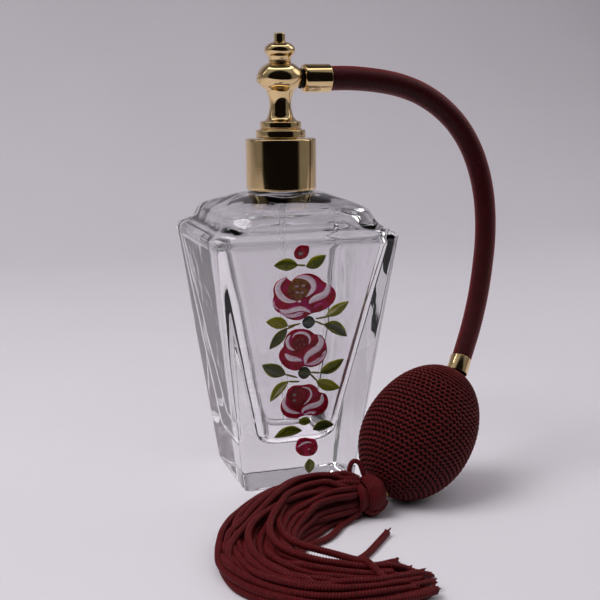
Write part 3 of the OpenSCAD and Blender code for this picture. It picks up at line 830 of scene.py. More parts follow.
def painted_roses():
    """A column of three brushed roses with berries, buds and leaves between them, in loose folk style."""
    sheet = PaintSheet()
    white = [(-1, "#C489A8"), (-0.75, BLUSH), (-0.2, "#DCC6D2"), (0.1, BLUSH), (0.45, "#CFAEC1"),
             (0.75, BLUSH), (1, "#BC6F92")]
    pink = [(-1, MAGENTA), (-0.6, "#C98CAE"), (-0.2, BLUSH), (0.2, "#B9618F"), (0.6, "#DDB9CD"), (1, MAGENTA)]
    rose = [CRIMSON, DEEP, CRIMSON, MAGENTA]

    # top bud and its pair of leaves
    sheet.leaf([(-3.8, 72.7), (-1, 72.4)], [(-3.4, 72.6), (-7, 73), (-10.8, 72.9)], 1.9)
    sheet.leaf(None, [(-1, 72), (2, 73.2), (5.1, 75.2)], 1.9)
    sheet.blob([(-1.8, 78.6), (-0.3, 78.2), (-0.2, 76.4), (-1, 74.9), (-2.8, 74.3), (-4.3, 74.9),
                (-4.8, 76.4), (-4.2, 77.8), (-3.1, 78.6)], [DEEP, CRIMSON, DEEP], thick=0.3)
    sheet.dab(-2.8, 76.2, 0.75, 0.7, ["#8B8182", "#5E3236"], layer=6, thick=0.2)

    # first rose
    sheet.blob([(-7, 69.2), (-8.7, 68.6), (-10.1, 67.6), (-10.8, 65.7), (-10.6, 63.8), (-10.9, 62.2),
                (-10.7, 60.7),
                (-9.9, 59.1), (-8, 57.7), (-6.1, 56.4), (-4, 55.6), (-1.8, 55.7), (0, 56.7), (1.7, 57.4),
                (3.8, 57.7), (6, 58.7), (8, 60.3), (8.8, 62.5), (8.2, 64.4), (6.6, 66), (5.1, 66.8),
                (4.1, 67.6), (2.8, 68.8), (0.7, 69.8), (-1.5, 69.9), (-3.4, 69.4), (-4.6, 68.6), (-5.3, 67.9),
                (-6.2, 68.5)], rose)
    sheet.stroke([(-4.1, 68.8), (-2.2, 69), (-0.4, 68.5), (1.1, 67.3), (1.6, 65.7), (1, 64.4), (0, 63.3),
                  (-0.8, 62.8)], 0.95, white, 4, 0.1, 0.7)
    sheet.stroke([(-7.1, 68.9), (-8.8, 67.7), (-9.5, 66.1), (-9, 64.3), (-7.6, 62.7), (-5.9, 61.8),
                  (-3.5, 61.5)], 0.9, white, 4, 0.1, 0.7)
    sheet.stroke([(5.9, 66.6), (6.1, 65.1), (5.4, 63.5), (3.8, 62.6), (1.7, 61.8), (0.3, 60.6)], 1.15, white,
                 5, 0.1, 0.5)
    sheet.stroke([(-8.9, 59.3), (-6.7, 58.6), (-4.5, 59), (-2.1, 59.2), (0, 58.4), (1, 57.6)], 0.8, white, 5,
                 0.1, 0.6)
    sheet.stroke([(-8.8, 58.6), (-6.3, 57.3), (-4.5, 57.2), (-3, 57.8), (-1.1, 58)], 0.6, pink, 4, 0.1)
    sheet.stroke([(-10.6, 62.3), (-10.4, 60.6), (-9.1, 59.4)], 0.35, pink, 4, 0.1)
    sheet.stroke([(-5.2, 56.6), (-3.3, 57), (-1.5, 57.4)], 0.22, white, 6, 0.1)
    sheet.stroke([(-0.4, 62.4), (-1, 61.1), (0, 59.5), (1.5, 58.2)], 0.75, [(-1, MAGENTA), (1, "#8E1450")], 4,
                 0.1)
    sheet.stroke([(1.6, 59), (2.9, 59.8), (4.6, 60.5)], 0.45, [(-1, MAGENTA), (1, "#B04A80")], 6, 0.08)
    sheet.blob([(-5.6, 67.4), (-4.2, 68.6), (-2.4, 68.5), (-0.4, 67.6), (0.3, 65.9), (-0.3, 63.9),
                (-1.8, 62.3),
                (-4.1, 62.2), (-6, 63.4), (-6.4, 65.6)], ["#6A3F1C", "#7B5527", "#5F1A14", "#7A5128"], 5, 0.1)
    for x, up in ((-3.7, 66.3), (-1.7, 66.4), (-3.5, 64.4), (-2, 64.3)):
        sheet.dab(x, up, 0.66, 0.6, ["#A48D8E", "#6E3230"], layer=8, thick=0.16)
    # Painted highlight: a pale dab where the enamel's gloss catches the light below the core.
    sheet.dab(-2.7, 61.5, 0.5, 0.4, [BLUSH, "#D9BCCB"], layer=6, thick=0.1)

    # leaves and berry below the first rose
    sheet.leaf([(2.5, 55.6), (5.5, 55.9), (8.5, 56.4)], [(5.8, 56.2), (9.3, 58), (13, 60.4)], 1.7, OLIVE,
               "#B9B58A")
    sheet.leaf([(2.3, 54.9), (5.6, 53.4)], [(5.2, 53.6), (8.9, 52.5), (12.9, 49.2)], 1.9, "#3E4326",
               "#595C4A")
    sheet.leaf([(-2, 54.4), (-6, 53.8)], [(-5.9, 54), (-9.2, 55.2), (-12.8, 55.8)], 1.9, OLIVE, "#8C8130")
    sheet.leaf([(-3.4, 54.1), (-6.4, 53)], [(-6.2, 53.4), (-8.3, 50.8), (-11.5, 47)], 1.7, "#3E4326",
               "#55592F")
    sheet.dab(0.4, 54.7, 2.0, 2.0, ["#585A56", "#1E1F1C"], layer=4, thick=0.5)

    # second rose
    sheet.blob([(-1, 52.7), (-3.8, 52.7), (-5.9, 51.5), (-7, 49), (-7.2, 47.5), (-8.3, 46), (-8.5, 44.1),
                (-7.5, 42.1), (-5.9, 40.5), (-3.7, 39.5), (-1.8, 39.6), (-0.6, 40.6), (1.9, 40.1),
                (4.5, 40.8), (6.1, 42.8), (6.7, 45), (6.1, 48), (4.7, 50.1), (2.5, 50.8), (0.9, 52)], rose)
    sheet.stroke([(3.5, 50.4), (4.6, 48.4), (3.8, 46.4), (1.8, 45.1), (0.1, 43.6), (-0.2, 41.2)], 1.15, white,
                 4, 0.1, 0.6)
    sheet.stroke([(-6.7, 45.3), (-5.2, 43.8), (-3, 43.1), (-1.2, 42.6)], 0.9, white, 4, 0.1, 0.6)
    sheet.stroke([(0, 41.2), (2.5, 41.4), (5, 42.8), (6.4, 45)], 0.8, pink, 4, 0.1, 0.6)
    sheet.stroke([(5, 43.9), (6.3, 45.3)], 0.2, white, 6, 0.08)
    sheet.stroke([(1.6, 41.3), (3, 42), (4.1, 43)], 0.2, white, 6, 0.08)
    sheet.stroke([(-5.2, 51.2), (-6.1, 49.3), (-5.5, 47.3), (-3.7, 46)], 0.55, white, 4, 0.1, 0.7)
    sheet.dab(-2.2, 48.3, 2.5, 2.7, ["#641319", "#7E1A1E"], layer=5, thick=0.12)
    sheet.stroke([(-4.5, 50.2), (-3.7, 51.3), (-1.6, 51.6), (0.2, 50.7), (1, 49.2), (0.7, 47.7)], 0.45, white,
                 7, 0.1, 0.6)
    for x, up in ((-2.9, 49.3), (-1.4, 49.5), (-2.3, 47.8), (-0.9, 47.9), (-3.1, 46.9)):
        sheet.dab(x, up, 0.34, 0.3, ["#8F5A50", "#6E2A26"], layer=8, thick=0.12)

    # leaves and berry below the second rose
    sheet.leaf([(1.4, 38.5), (4.8, 38)], [(4.6, 38), (8.5, 39.6), (12.2, 41.9)], 1.9)
    sheet.leaf([(1.4, 38.1), (3.9, 35.4)], [(3.6, 35.6), (7.3, 33.7), (11.4, 32.4)], 1.9, OLIVE, "#8A8A32")
    sheet.leaf([(-2.4, 37.1), (-6.4, 38.5)], [(-6.2, 38.5), (-10.2, 40.2), (-13.7, 42.2)], 2.2, "#484B2C",
               "#66685C")
    sheet.leaf([(-1.6, 35.7), (-5.4, 36.1)], [(-5.2, 36.2), (-8.2, 33.9), (-10.9, 30)], 1.6, OLIVE, "#C9C6A4")
    sheet.dab(-0.4, 38.5, 2.0, 2.0, ["#4C4F38", "#23251A"], layer=4, thick=0.5)

    # third rose
    sheet.blob([(1.2, 34.7), (-1, 34.5), (-3.6, 34.6), (-5.3, 33.5), (-6, 31.6), (-7.1, 30), (-7.6, 28.1),
                (-7.1, 26.1), (-5.5, 24.4), (-2.6, 23.5), (-0.7, 24.1), (0.9, 24.3), (3.8, 23.9), (6.1, 24.5),
                (7.5, 26.2), (7.8, 28.5), (6.8, 30.8), (4.8, 31.7), (3.8, 33.2), (2.5, 34.3)], rose)
    sheet.stroke([(-5.9, 31.8), (-6.6, 29.4), (-5.8, 27.3), (-3.9, 26), (-1.3, 25.3)], 0.7, white, 4, 0.1,
                 0.7)
    sheet.stroke([(5.6, 31), (5.6, 28.9), (4.3, 27.7), (1.8, 27.2), (-0.2, 26.4), (-0.6, 25.1)], 0.95, white,
                 4, 0.1, 0.6)
    sheet.stroke([(-0.2, 24.6), (1.8, 25.2), (4, 25.1)], 0.5, pink, 4, 0.1)
    sheet.blob([(-5, 32.8), (-3.2, 34.1), (-1, 33.8), (0.4, 32.3), (0.6, 30), (-0.3, 27.9), (-2.4, 26.9),
                (-4.3, 27.8), (-5.3, 30)], ["#6E1018", "#8A1520", "#5A0E14"], 5, 0.1)
    sheet.stroke([(-1, 34), (1.2, 33.2), (2.1, 31.4), (1.4, 29.5), (-0.2, 28)], 0.3, white, 7, 0.1, 0.7)
    for x, up in ((-3.3, 31.7), (-3.3, 29.8)):
        sheet.dab(x, up, 0.62, 0.6, ["#8E7C7E", "#5E2A2E"], layer=8, thick=0.14)
    # Painted highlight: a white glint on the enamel at the rose's lower edge.
    sheet.dab(2.9, 24.9, 0.5, 0.22, ["#FFFFFF", "#E9D9DF"], layer=6, thick=0.08)

    # leaves, oval and bottom bud
    sheet.dab(0.3, 22.4, 2.0, 1.4, [MOSS, OLIVE], layer=1)
    sheet.leaf(None, [(-0.4, 19.3), (-5, 19.5), (-9.3, 17.9)], 1.8)
    sheet.leaf(None, [(3, 19.3), (6.4, 20.4), (9.9, 20.2)], 1.8, "#242B0F", "#3C4516")
    sheet.blob([(0.5, 16.9), (-1.4, 16.5), (-2.3, 14.5), (-2.1, 12.5), (-0.6, 10.9), (1.4, 10.3), (3.7, 10.6),
                (4.9, 12.3), (4.7, 14.4), (3.8, 15.9), (2.2, 16.4)], [CRIMSON, "#B3204A", DEEP, CRIMSON],
               thick=0.35)
    sheet.stroke([(-1.8, 14), (-0.4, 14.9), (1.2, 15.3), (2.7, 15)], 0.38, white, 8, 0.14)
    # Painted highlight: a pale dot of gloss on the bud.
    sheet.dab(1.9, 12.9, 0.3, 0.25, [BLUSH, "#C77A8E"], layer=9, thick=0.1)
    sheet.leaf(None, [(2.2, 9.4), (2.5, 6.8), (2.3, 4.3)], 1.7, "#4B4F22", "#7D7A3C")
    return sheet.piece()


# ---------- gold pieces ----------


def turned_head(gold):
    """Spray head turned from one bar: two rings, flare, waist and big ball, bored for nozzle and air."""
    low = collar_high[2] + 0.2
    profile = [(0, 99.1), (3.2, 99.1), (3.2, 105.3), (5.2, 105.3), (5.2, low)]
    profile += filleted([(5.2, low), (7.75, low, 0.35), (7.75, low + 2.3, 0.5), (6.7, low + 2.5, 0.2),
                         (6.15, 110.9, 0.25), (6.4, 111.0, 0.25), (6.4, 112.6, 0.45), (5.9, 112.85)])
    profile += arc(6.1, 115.6, 2.35, 2.8, 268, 200, 12)
    waist = smooth_path([(3.87, 114.8, 0), (3.42, 116.6, 0), (3.33, 117.8, 0), (3.45, 119.3, 0),
                         (3.75, 120.6, 0), (4.3, 121.9, 0)], 0.3)
    profile += [(x, y) for x, y, _ in waist[1:-1]]
    profile += arc(0, ball_z, 7.1, 5, -53, 61, 40)
    profile += filleted([(3.35, 130.65), (3.4, 130.8, 0.1), (3.6, 131.05, 0.15), (3.4, 131.3, 0.1),
                         (0, 131.3)])
    head = turned("turned_head", profile, Matrix.Identity(4), gold)
    nozzle_bore = turned("nozzle_cut", [(0, 4.6), (1.6, 4.6), (1.6, 9), (0, 9)],
                         Matrix.Translation((0, 0, air_z)) @ Matrix.Rotation(math.radians(-90), 4, "Y"), gold,
                         48)
    head = cut_away(head, nozzle_bore)
    seat = turned("seat_cut", [(0, 6.2), (3.2, 6.2), (3.2, 9), (0, 9)], along_x(air_z), gold, 64)
    return cut_away(head, seat)


def turned_finial(gold):
    """Small ball and stub screwed on top of the head."""
    profile = filleted([(0, 131.3), (3.3, 131.3, 0.15), (3.45, 131.85, 0.3), (3.64, 132.53)])
    profile += arc(0, 134.3, 4.75, 2.75, -40, 68, 36)[1:]
    profile += filleted([(1.78, 136.85), (1.72, 137.3, 0.3), (1.75, finial_top, 0.6), (0, finial_top)])
    return turned("turned_finial", profile, Matrix.Identity(4), gold)


def drawn_collar(gold):
    """Screw collar drawn from sheet brass, with a rolled lower edge and a soft shoulder."""
    low, high = collar_low[2], collar_high[2]
    profile = filleted([
        (10.45, high - 0.8), (10.45, low + 0.1, 0.1), (10.6, low, 0.1), (collar_r - 0.12, low, 0.12),
        (collar_r, low + 0.5, 0.3), (collar_r, high, 0.9), (5.3, high, 0.15), (5.3, high - 0.8, 0.15),
        (10.44, high - 0.8),
    ], 8)
    return turned("drawn_collar", profile, Matrix.Identity(4), gold, 160)


def hose_ferrule(gold):
    """Thin cup that closes the hose's head end, with a rolled lip."""
    x0, x1, r = head_ferrule_low[0], head_ferrule_high[0], head_ferrule_high[2] - air_z
    profile = filleted([
        (1.85, x0 + 0.6), (1.85, x0, 0.1), (r, x0, 1.1), (r, x1, 0.25), (3.98, x1, 0.1),
        (3.98, x0 + 1.1, 0.2), (3.3, x0 + 0.6, 0.2), (1.86, x0 + 0.6),
    ], 8)
    return turned("hose_ferrule", profile, along_x(air_z), gold)


def squeeze_ferrule(gold):
    """Short tube ferrule on the bulb's neck, with its rolled seam."""
    profile = filleted([
        (3.18, -0.6), (3.3, -0.6, 0.1), (3.3, 4.4, 0.2), (3.13, 4.4, 0.1), (3.13, -0.6, 0.05), (3.18, -0.6),
    ], 5)
    return turned("squeeze_ferrule", profile, neck_place, gold, 96)


# ---------- netted bulb ----------


def egg_radius(z, inset=0.0):
    """Radius of the bulb at a height along its own axis, in mm."""
    end = np.where(np.asarray(z) > 0, bulb_top - inset, bulb_tail - inset)
    return (bulb_r - inset) * np.sqrt(np.maximum(0, 1 - (z / end) ** 2))


def stitch_tree(material):
    """Puts a V of two loops on every point, turned to the point's own row, and ends as one mesh."""
    tree = bpy.data.node_groups.new("net_stitches", "GeometryNodeTree")
    for name, kind in (("Stitches", "NodeSocketGeometry"), ("Loop Length", "NodeSocketFloat"),
                       ("Loop Width", "NodeSocketFloat"), ("Loop Thickness", "NodeSocketFloat")):
        tree.interface.new_socket(name, in_out="INPUT", socket_type=kind)
    tree.interface.new_socket("Net", in_out="OUTPUT", socket_type="NodeSocketGeometry")
    given = add_node(tree, "NodeGroupInput").outputs
    ball = add_node(tree, "GeometryNodeMeshUVSphere", {"Segments": 8, "Rings": 6, "Radius": 0.5})
    shape = add_node(tree, "ShaderNodeCombineXYZ", {0: given["Loop Length"], 1: given["Loop Width"],
                                                    2: given["Loop Thickness"]})
    grain = add_node(tree, "GeometryNodeTransform",
                     {"Geometry": ball.outputs["Mesh"], "Scale": shape.outputs[0]})
    height = add_node(tree, "ShaderNodeSeparateXYZ",
                      {0: add_node(tree, "GeometryNodeInputPosition").outputs[0]})
    # crest from each loop's height also sets its colour: painted shade on the loop's low, inner side.
    crest = add_node(tree, "ShaderNodeMapRange", {0: height.outputs["Z"], 1: -0.0002, 2: 0.0005})
    marked = add_node(tree, "GeometryNodeStoreNamedAttribute",
                      {"Geometry": grain.outputs[0], "Name": "crest", "Value": crest.outputs[0]},
                      data_type="FLOAT", domain="POINT")
    outward = add_node(tree, "GeometryNodeInputNamedAttribute", {"Name": "outward"}, data_type="FLOAT_VECTOR")
    row = add_node(tree, "GeometryNodeInputNamedAttribute", {"Name": "row"}, data_type="FLOAT_VECTOR")
    size = add_node(tree, "GeometryNodeInputNamedAttribute", {"Name": "size"}, data_type="FLOAT")
    facing = add_node(tree, "FunctionNodeAxesToRotation",
                      {"Primary Axis": outward.outputs[0], "Secondary Axis": row.outputs[0]},
                      primary_axis="Z", secondary_axis="X")
    placed = add_node(tree, "GeometryNodeInstanceOnPoints",
                      {"Points": given["Stitches"], "Instance": marked.outputs[0],
                       "Rotation": facing.outputs[0], "Scale": size.outputs[0]})
    solid = add_node(tree, "GeometryNodeRealizeInstances", {"Geometry": placed.outputs[0]})
    smooth = add_node(tree, "GeometryNodeSetShadeSmooth", {"Geometry": solid.outputs[0]})
    finished = add_node(tree, "GeometryNodeSetMaterial",
                        {"Geometry": smooth.outputs[0], "Material": material})
    add_node(tree, "NodeGroupOutput", {"Net": finished.outputs[0]})
    return tree


def run_tree(host, tree, values, name):
    """Puts a geometry tree on a host mesh with its named inputs set, and returns the plain mesh it makes."""
    modifier = host.modifiers.new("made", "NODES")
    modifier.node_group = tree
    sockets = {item.name: item.identifier for item in tree.interface.items_tree if item.in_out == "INPUT"}
    for key, value in values.items():
        modifier[sockets[key]] = value
    return evaluated_copy(host, name)


def netted_bulb(material):
    """Crocheted net: rows of V stitches round the bulb over a dark skin of painted shade."""
    rng = random.Random(7)
    row_gap, stitch_gap = 1.5, 1.6
    z = np.linspace(-bulb_tail + 0.02, bulb_top - 0.02, 900)
    meridian = np.stack([egg_radius(z, 0.45), z], 1)
    rows = even_steps(meridian, row_gap)
    spots, outward, row_way, sizes = [], [], [], []
    for index, (r, height) in enumerate(rows):
        if r < 1.6:
            continue
        end = bulb_top if height > 0 else bulb_tail
        slope = np.array((r / bulb_r**2, height / end**2))
        slope /= np.linalg.norm(slope)
        count = max(6, int(round(2 * math.pi * r / stitch_gap)))
        near_hose = float(ease(height, 13, 19))
        for k in range(count):
            a = 2 * math.pi * (k + 0.5 * (index % 2)) / count
            ray = np.array((math.cos(a), math.sin(a), 0))
            around = np.array((-math.sin(a), math.cos(a), 0))
            normal = ray * slope[0] + np.array((0, 0, slope[1]))
            up = np.cross(normal, around)
            for side in (-1, 1):
                slant = math.radians((52 - 44 * near_hose) * side + rng.uniform(-5, 5))
                along = around * math.cos(slant) + up * math.sin(slant)
                spot = ray * r + np.array((0, 0, height)) + around * stitch_gap * 0.24 * side
                spots.append(spot)
                outward.append(normal)
                row_way.append(along)
                sizes.append(rng.uniform(0.93, 1.07))
    turn = np.array(bulb_place.to_3x3())
    world = np.array(spots) @ turn.T + bulb_at
    normals = np.array(outward) @ turn.T
    ways = np.array(row_way) @ turn.T
    neck_axis = np.array(neck_place.to_3x3() @ Vector((0, 0, 1)))
    off = world - neck_at
    clear = np.linalg.norm(off - np.outer(off @ neck_axis, neck_axis), axis=1) > 3.4
    keep = clear | (np.linalg.norm(off, axis=1) > 12)
    host = make_piece("stitch_places", world[keep] * MM, [], None)
    for name, values in (("outward", normals[keep]), ("row", ways[keep])):
        layer = host.data.attributes.new(name, "FLOAT_VECTOR", "POINT")
        layer.data.foreach_set("vector", values.astype(np.float32).ravel())
    store(host, "size", np.array(sizes)[keep])
    sizes_m = {"Loop Length": 1.75 * MM, "Loop Width": 0.72 * MM, "Loop Thickness": 0.9 * MM}
    return run_tree(host, stitch_tree(material), sizes_m, "crocheted_net")


def net_shade_skin():
    """Closed dark skin under the stitches, painted shade for the gaps, so no gap shows through the net."""
    z = np.concatenate([bulb_tail * -np.cos(np.linspace(0, math.pi / 2, 40)),
                        bulb_top * np.sin(np.linspace(0, math.pi / 2, 40))[1:]])
    inset = 0.75
    heights = z * (1 - inset / bulb_top)
    profile = [(float(egg_radius(h, inset)), float(h)) for h in heights]
    profile[0], profile[-1] = (0, profile[0][1]), (0, profile[-1][1])
    # Painted shade: a dark red skin that makes the gaps between stitches read dark.
    material = soft_compound("painted_shade_under_the_net", "#17070A", "#2A0E13", 1400.0, 0.8, 0.2, 0.15)
    return turned("net_shade_skin", profile, bulb_place, material, 96)


def squeeze_bulb(material):
    """Hollow rubber bulb under the net, open at its tail for the intake valve."""
    outer, wall, bore = 1.3, 1.6, 2.05

    def skin(inset):
        start = math.asin(bore / (bulb_r - inset)) - math.pi / 2
        angles = np.linspace(start, math.pi / 2, 60)
        return [((bulb_r - inset) * max(0.0, math.cos(a)),
                 ((bulb_top if a > 0 else bulb_tail) - inset) * math.sin(a))
                for a in angles]

    return turned("squeeze_bulb", skin(outer) + skin(outer + wall)[::-1], bulb_place, material, 64)


# ---------- tassel ----------

head_at = np.array((12.2, -46.0, 6.1))
head_place = Matrix.Translation(head_at) @ Matrix.Rotation(math.radians(10), 4, "Z") @ Matrix.Rotation(
    math.radians(-90), 4, "Y"
)
head_r, head_half = 5.8, 4.2
cord_r = 0.93

# each place of the lying skirt: x, y, half width, height
skirt = [
    (8.6, -46.6, 2.6, 9.6), (3, -45.3, 6.0, 10.2), (-4, -44.6, 9.6, 9.6), (-11, -46, 11.5, 9),
    (-18.5, -50.5, 12, 8.2),
    (-25, -58, 11.7, 7.4), (-28.5, -67.5, 11.2, 6.6), (-28.5, -77.5, 10.8, 6.2), (-24, -86.5, 10.5, 6),
    (-16, -92.5, 10.2, 5.6), (-6, -95, 8.8, 5), (4, -95, 8.2, 4.4), (11, -93, 8.2, 3.6),
]


def settle(strands, pinned, rounds):
    """Parts the cords until they only touch. Each keeps its length, near its route and off the table."""
    n, m, _ = strands.shape
    route = strands.copy()
    rest = np.linalg.norm(np.diff(strands, axis=1), axis=2)
    owner = np.repeat(np.arange(n), m)
    apart = owner[:, None] != owner[None, :]
    near = 1.95 * cord_r
    for _ in range(rounds):
        strands = strands + 0.05 * (route - strands)
        strands[:, pinned:, 2] -= 0.03
        flat = strands.reshape(-1, 3)
        square = (flat**2).sum(1)
        gap2 = square[:, None] + square[None, :] - 2 * flat @ flat.T
        i, j = np.nonzero((gap2 < near**2) & apart)
        way = flat[i] - flat[j]
        gap = np.maximum(np.linalg.norm(way, axis=1, keepdims=True), 0.05)
        moved, touches = np.zeros_like(flat), np.zeros(len(flat))
        np.add.at(moved, i, way / gap * (near - gap) * 0.42)
        np.add.at(touches, i, 1)
        flat = flat + moved * (0.7 * np.minimum(touches, 2) / np.maximum(touches, 1))[:, None]
        strands = flat.reshape(n, m, 3)
        between = 0.5 * (strands[:, pinned - 1 : -2] + strands[:, pinned + 1 :])
        strands[:, pinned:-1] += 0.12 * (between - strands[:, pinned:-1])
        for start in (0, 1):
            a, b = strands[:, start:-1:2], strands[:, start + 1 :: 2]
            way = b - a
            length = np.maximum(np.linalg.norm(way, axis=2, keepdims=True), 1e-6)
            fix = way * (1 - rest[:, start::2, None] / length) * 0.5
            strands[:, start:-1:2] += fix
            strands[:, start + 1 :: 2] -= fix
        strands[:, :pinned] = route[:, :pinned]
        strands[..., 2] = np.maximum(strands[..., 2], cord_r)
    return strands


def skirt_strands():
    """The tassel's cords as lines that leave the knot, fan out, turn back and cross over one another."""
    rng = random.Random(5)
    count, step = 44, 2.1
    centre = smooth_path(skirt, step)
    way = unit(np.gradient(centre[:, :2], axis=0))
    aside = np.stack([-way[:, 1], way[:, 0]], 1)
    run = np.linspace(0, 1, len(centre))
    strands = np.zeros((count, len(centre), 3))
    for k in range(count):
        start = -1 + 2 * (k + 0.5) / count
        finish = max(-1, min(1, start + rng.uniform(-0.6, 0.6)))
        place = start + (finish - start) * ease(run, 0.15, 0.8)
        place += 0.07 * np.sin(run * rng.uniform(6, 10) + rng.uniform(0, 6.28)) * ease(run, 0.05, 0.3)
        across = np.clip(place, -1, 1)
        strands[k, :, :2] = centre[:, :2] + aside * ((centre[:, 2] - cord_r) * across)[:, None]
        low, high = rng.random(), rng.random()
        layer = low + (high - low) * ease(run, 0.2, 0.75)
        roof = (centre[:, 3] - 2 * cord_r) * (1.45 - 0.35 * ease(run, 0.2, 0.45) - 0.6 * across**2)
        strands[k, :, 2] = cord_r + roof * layer + 0.3 * np.sin(run * 7 + k)
    return strands


def loose_strands(points_each):
    """Cords that stray from the bundle, arch over it or cross it."""
    routes = [
        [(8.4, -47.8, 3.6), (5.4, -48.8, 1.6), (2.5, -50.8, 1), (-1.3, -56, 1), (-6.3, -61.1, 1),
         (-12.3, -63.6, 1),
         (-17.5, -67, 1), (-18.5, -73, 1.2), (-13, -78.5, 1.5), (-4, -81, 1.3), (2.5, -81.2, 1),
         (6, -80.4, 1.2)],
        [(8.6, -46.2, 4.5), (2, -47.5, 3), (-6, -51, 3), (-14, -56.5, 2.6), (-20.5, -64, 2.6),
         (-20.5, -71.5, 3),
         (-14.5, -77.5, 3), (-6.5, -78, 1.8), (-1, -75.4, 1), (4.4, -69.9, 1), (8.6, -65, 1),
         (10.8, -62.9, 1.8)],
        [(8.6, -46.6, 8.4), (4.4, -45.4, 11.6), (-0.6, -42.8, 13), (-8.2, -42.9, 13), (-15.5, -47, 11.4),
         (-24, -54, 8.6), (-32, -62.5, 6), (-36.3, -72, 3.6), (-35, -83, 1.8), (-29, -92.5, 1), (-19, -99, 1),
         (-9, -101, 1)],
        [(8.4, -45.8, 8), (4, -43.8, 10.8), (-1, -40.8, 11.6), (-9, -40.9, 11.2), (-17.5, -45.5, 9.5),
         (-27, -53, 7), (-34.6, -62.5, 4.4), (-37.4, -73, 2), (-35.2, -84, 1), (-27, -94, 1), (-16, -98.5, 1),
         (-6, -100.5, 1)],
        [(8.8, -47.2, 8), (4, -47.8, 10.4), (-2, -45.8, 11.8), (-9, -46.8, 11.6), (-16, -52, 10.4),
         (-22, -60, 8.8), (-24.5, -70, 7.6), (-21, -80, 7), (-13, -86.5, 6.4), (-4, -89, 5), (5, -89.5, 2.6),
         (11, -91.4, 1.2)],
        [(8.5, -46, 7), (3, -44.5, 10), (-5, -45.5, 10.6), (-13, -49.5, 9.6), (-18.4, -56.4, 7.4),
         (-20.2, -64.8, 6.4),
         (-17.6, -73.3, 6.4), (-10.9, -80.4, 6), (-5.3, -88.1, 5.6), (-3.6, -97, 4.6), (-1, -103.5, 1.4)],
        [(8.5, -46.4, 7.4), (2, -46.6, 9.6), (-8, -48.6, 10), (-18, -52.5, 9.4), (-26.4, -58.4, 8.2),
         (-30.2, -66.6, 7.4), (-30.6, -77.1, 6.6), (-27.6, -87.3, 5.6), (-20, -94.5, 4.2), (-9, -98.2, 2.6),
         (3, -100, 1.2)],
    ]
    strands = []
    for route in routes:
        path = smooth_path(route, 0.5)
        strands.append(even_steps(path, path_length(path) / (points_each - 1))[:points_each])
    return np.array(strands)


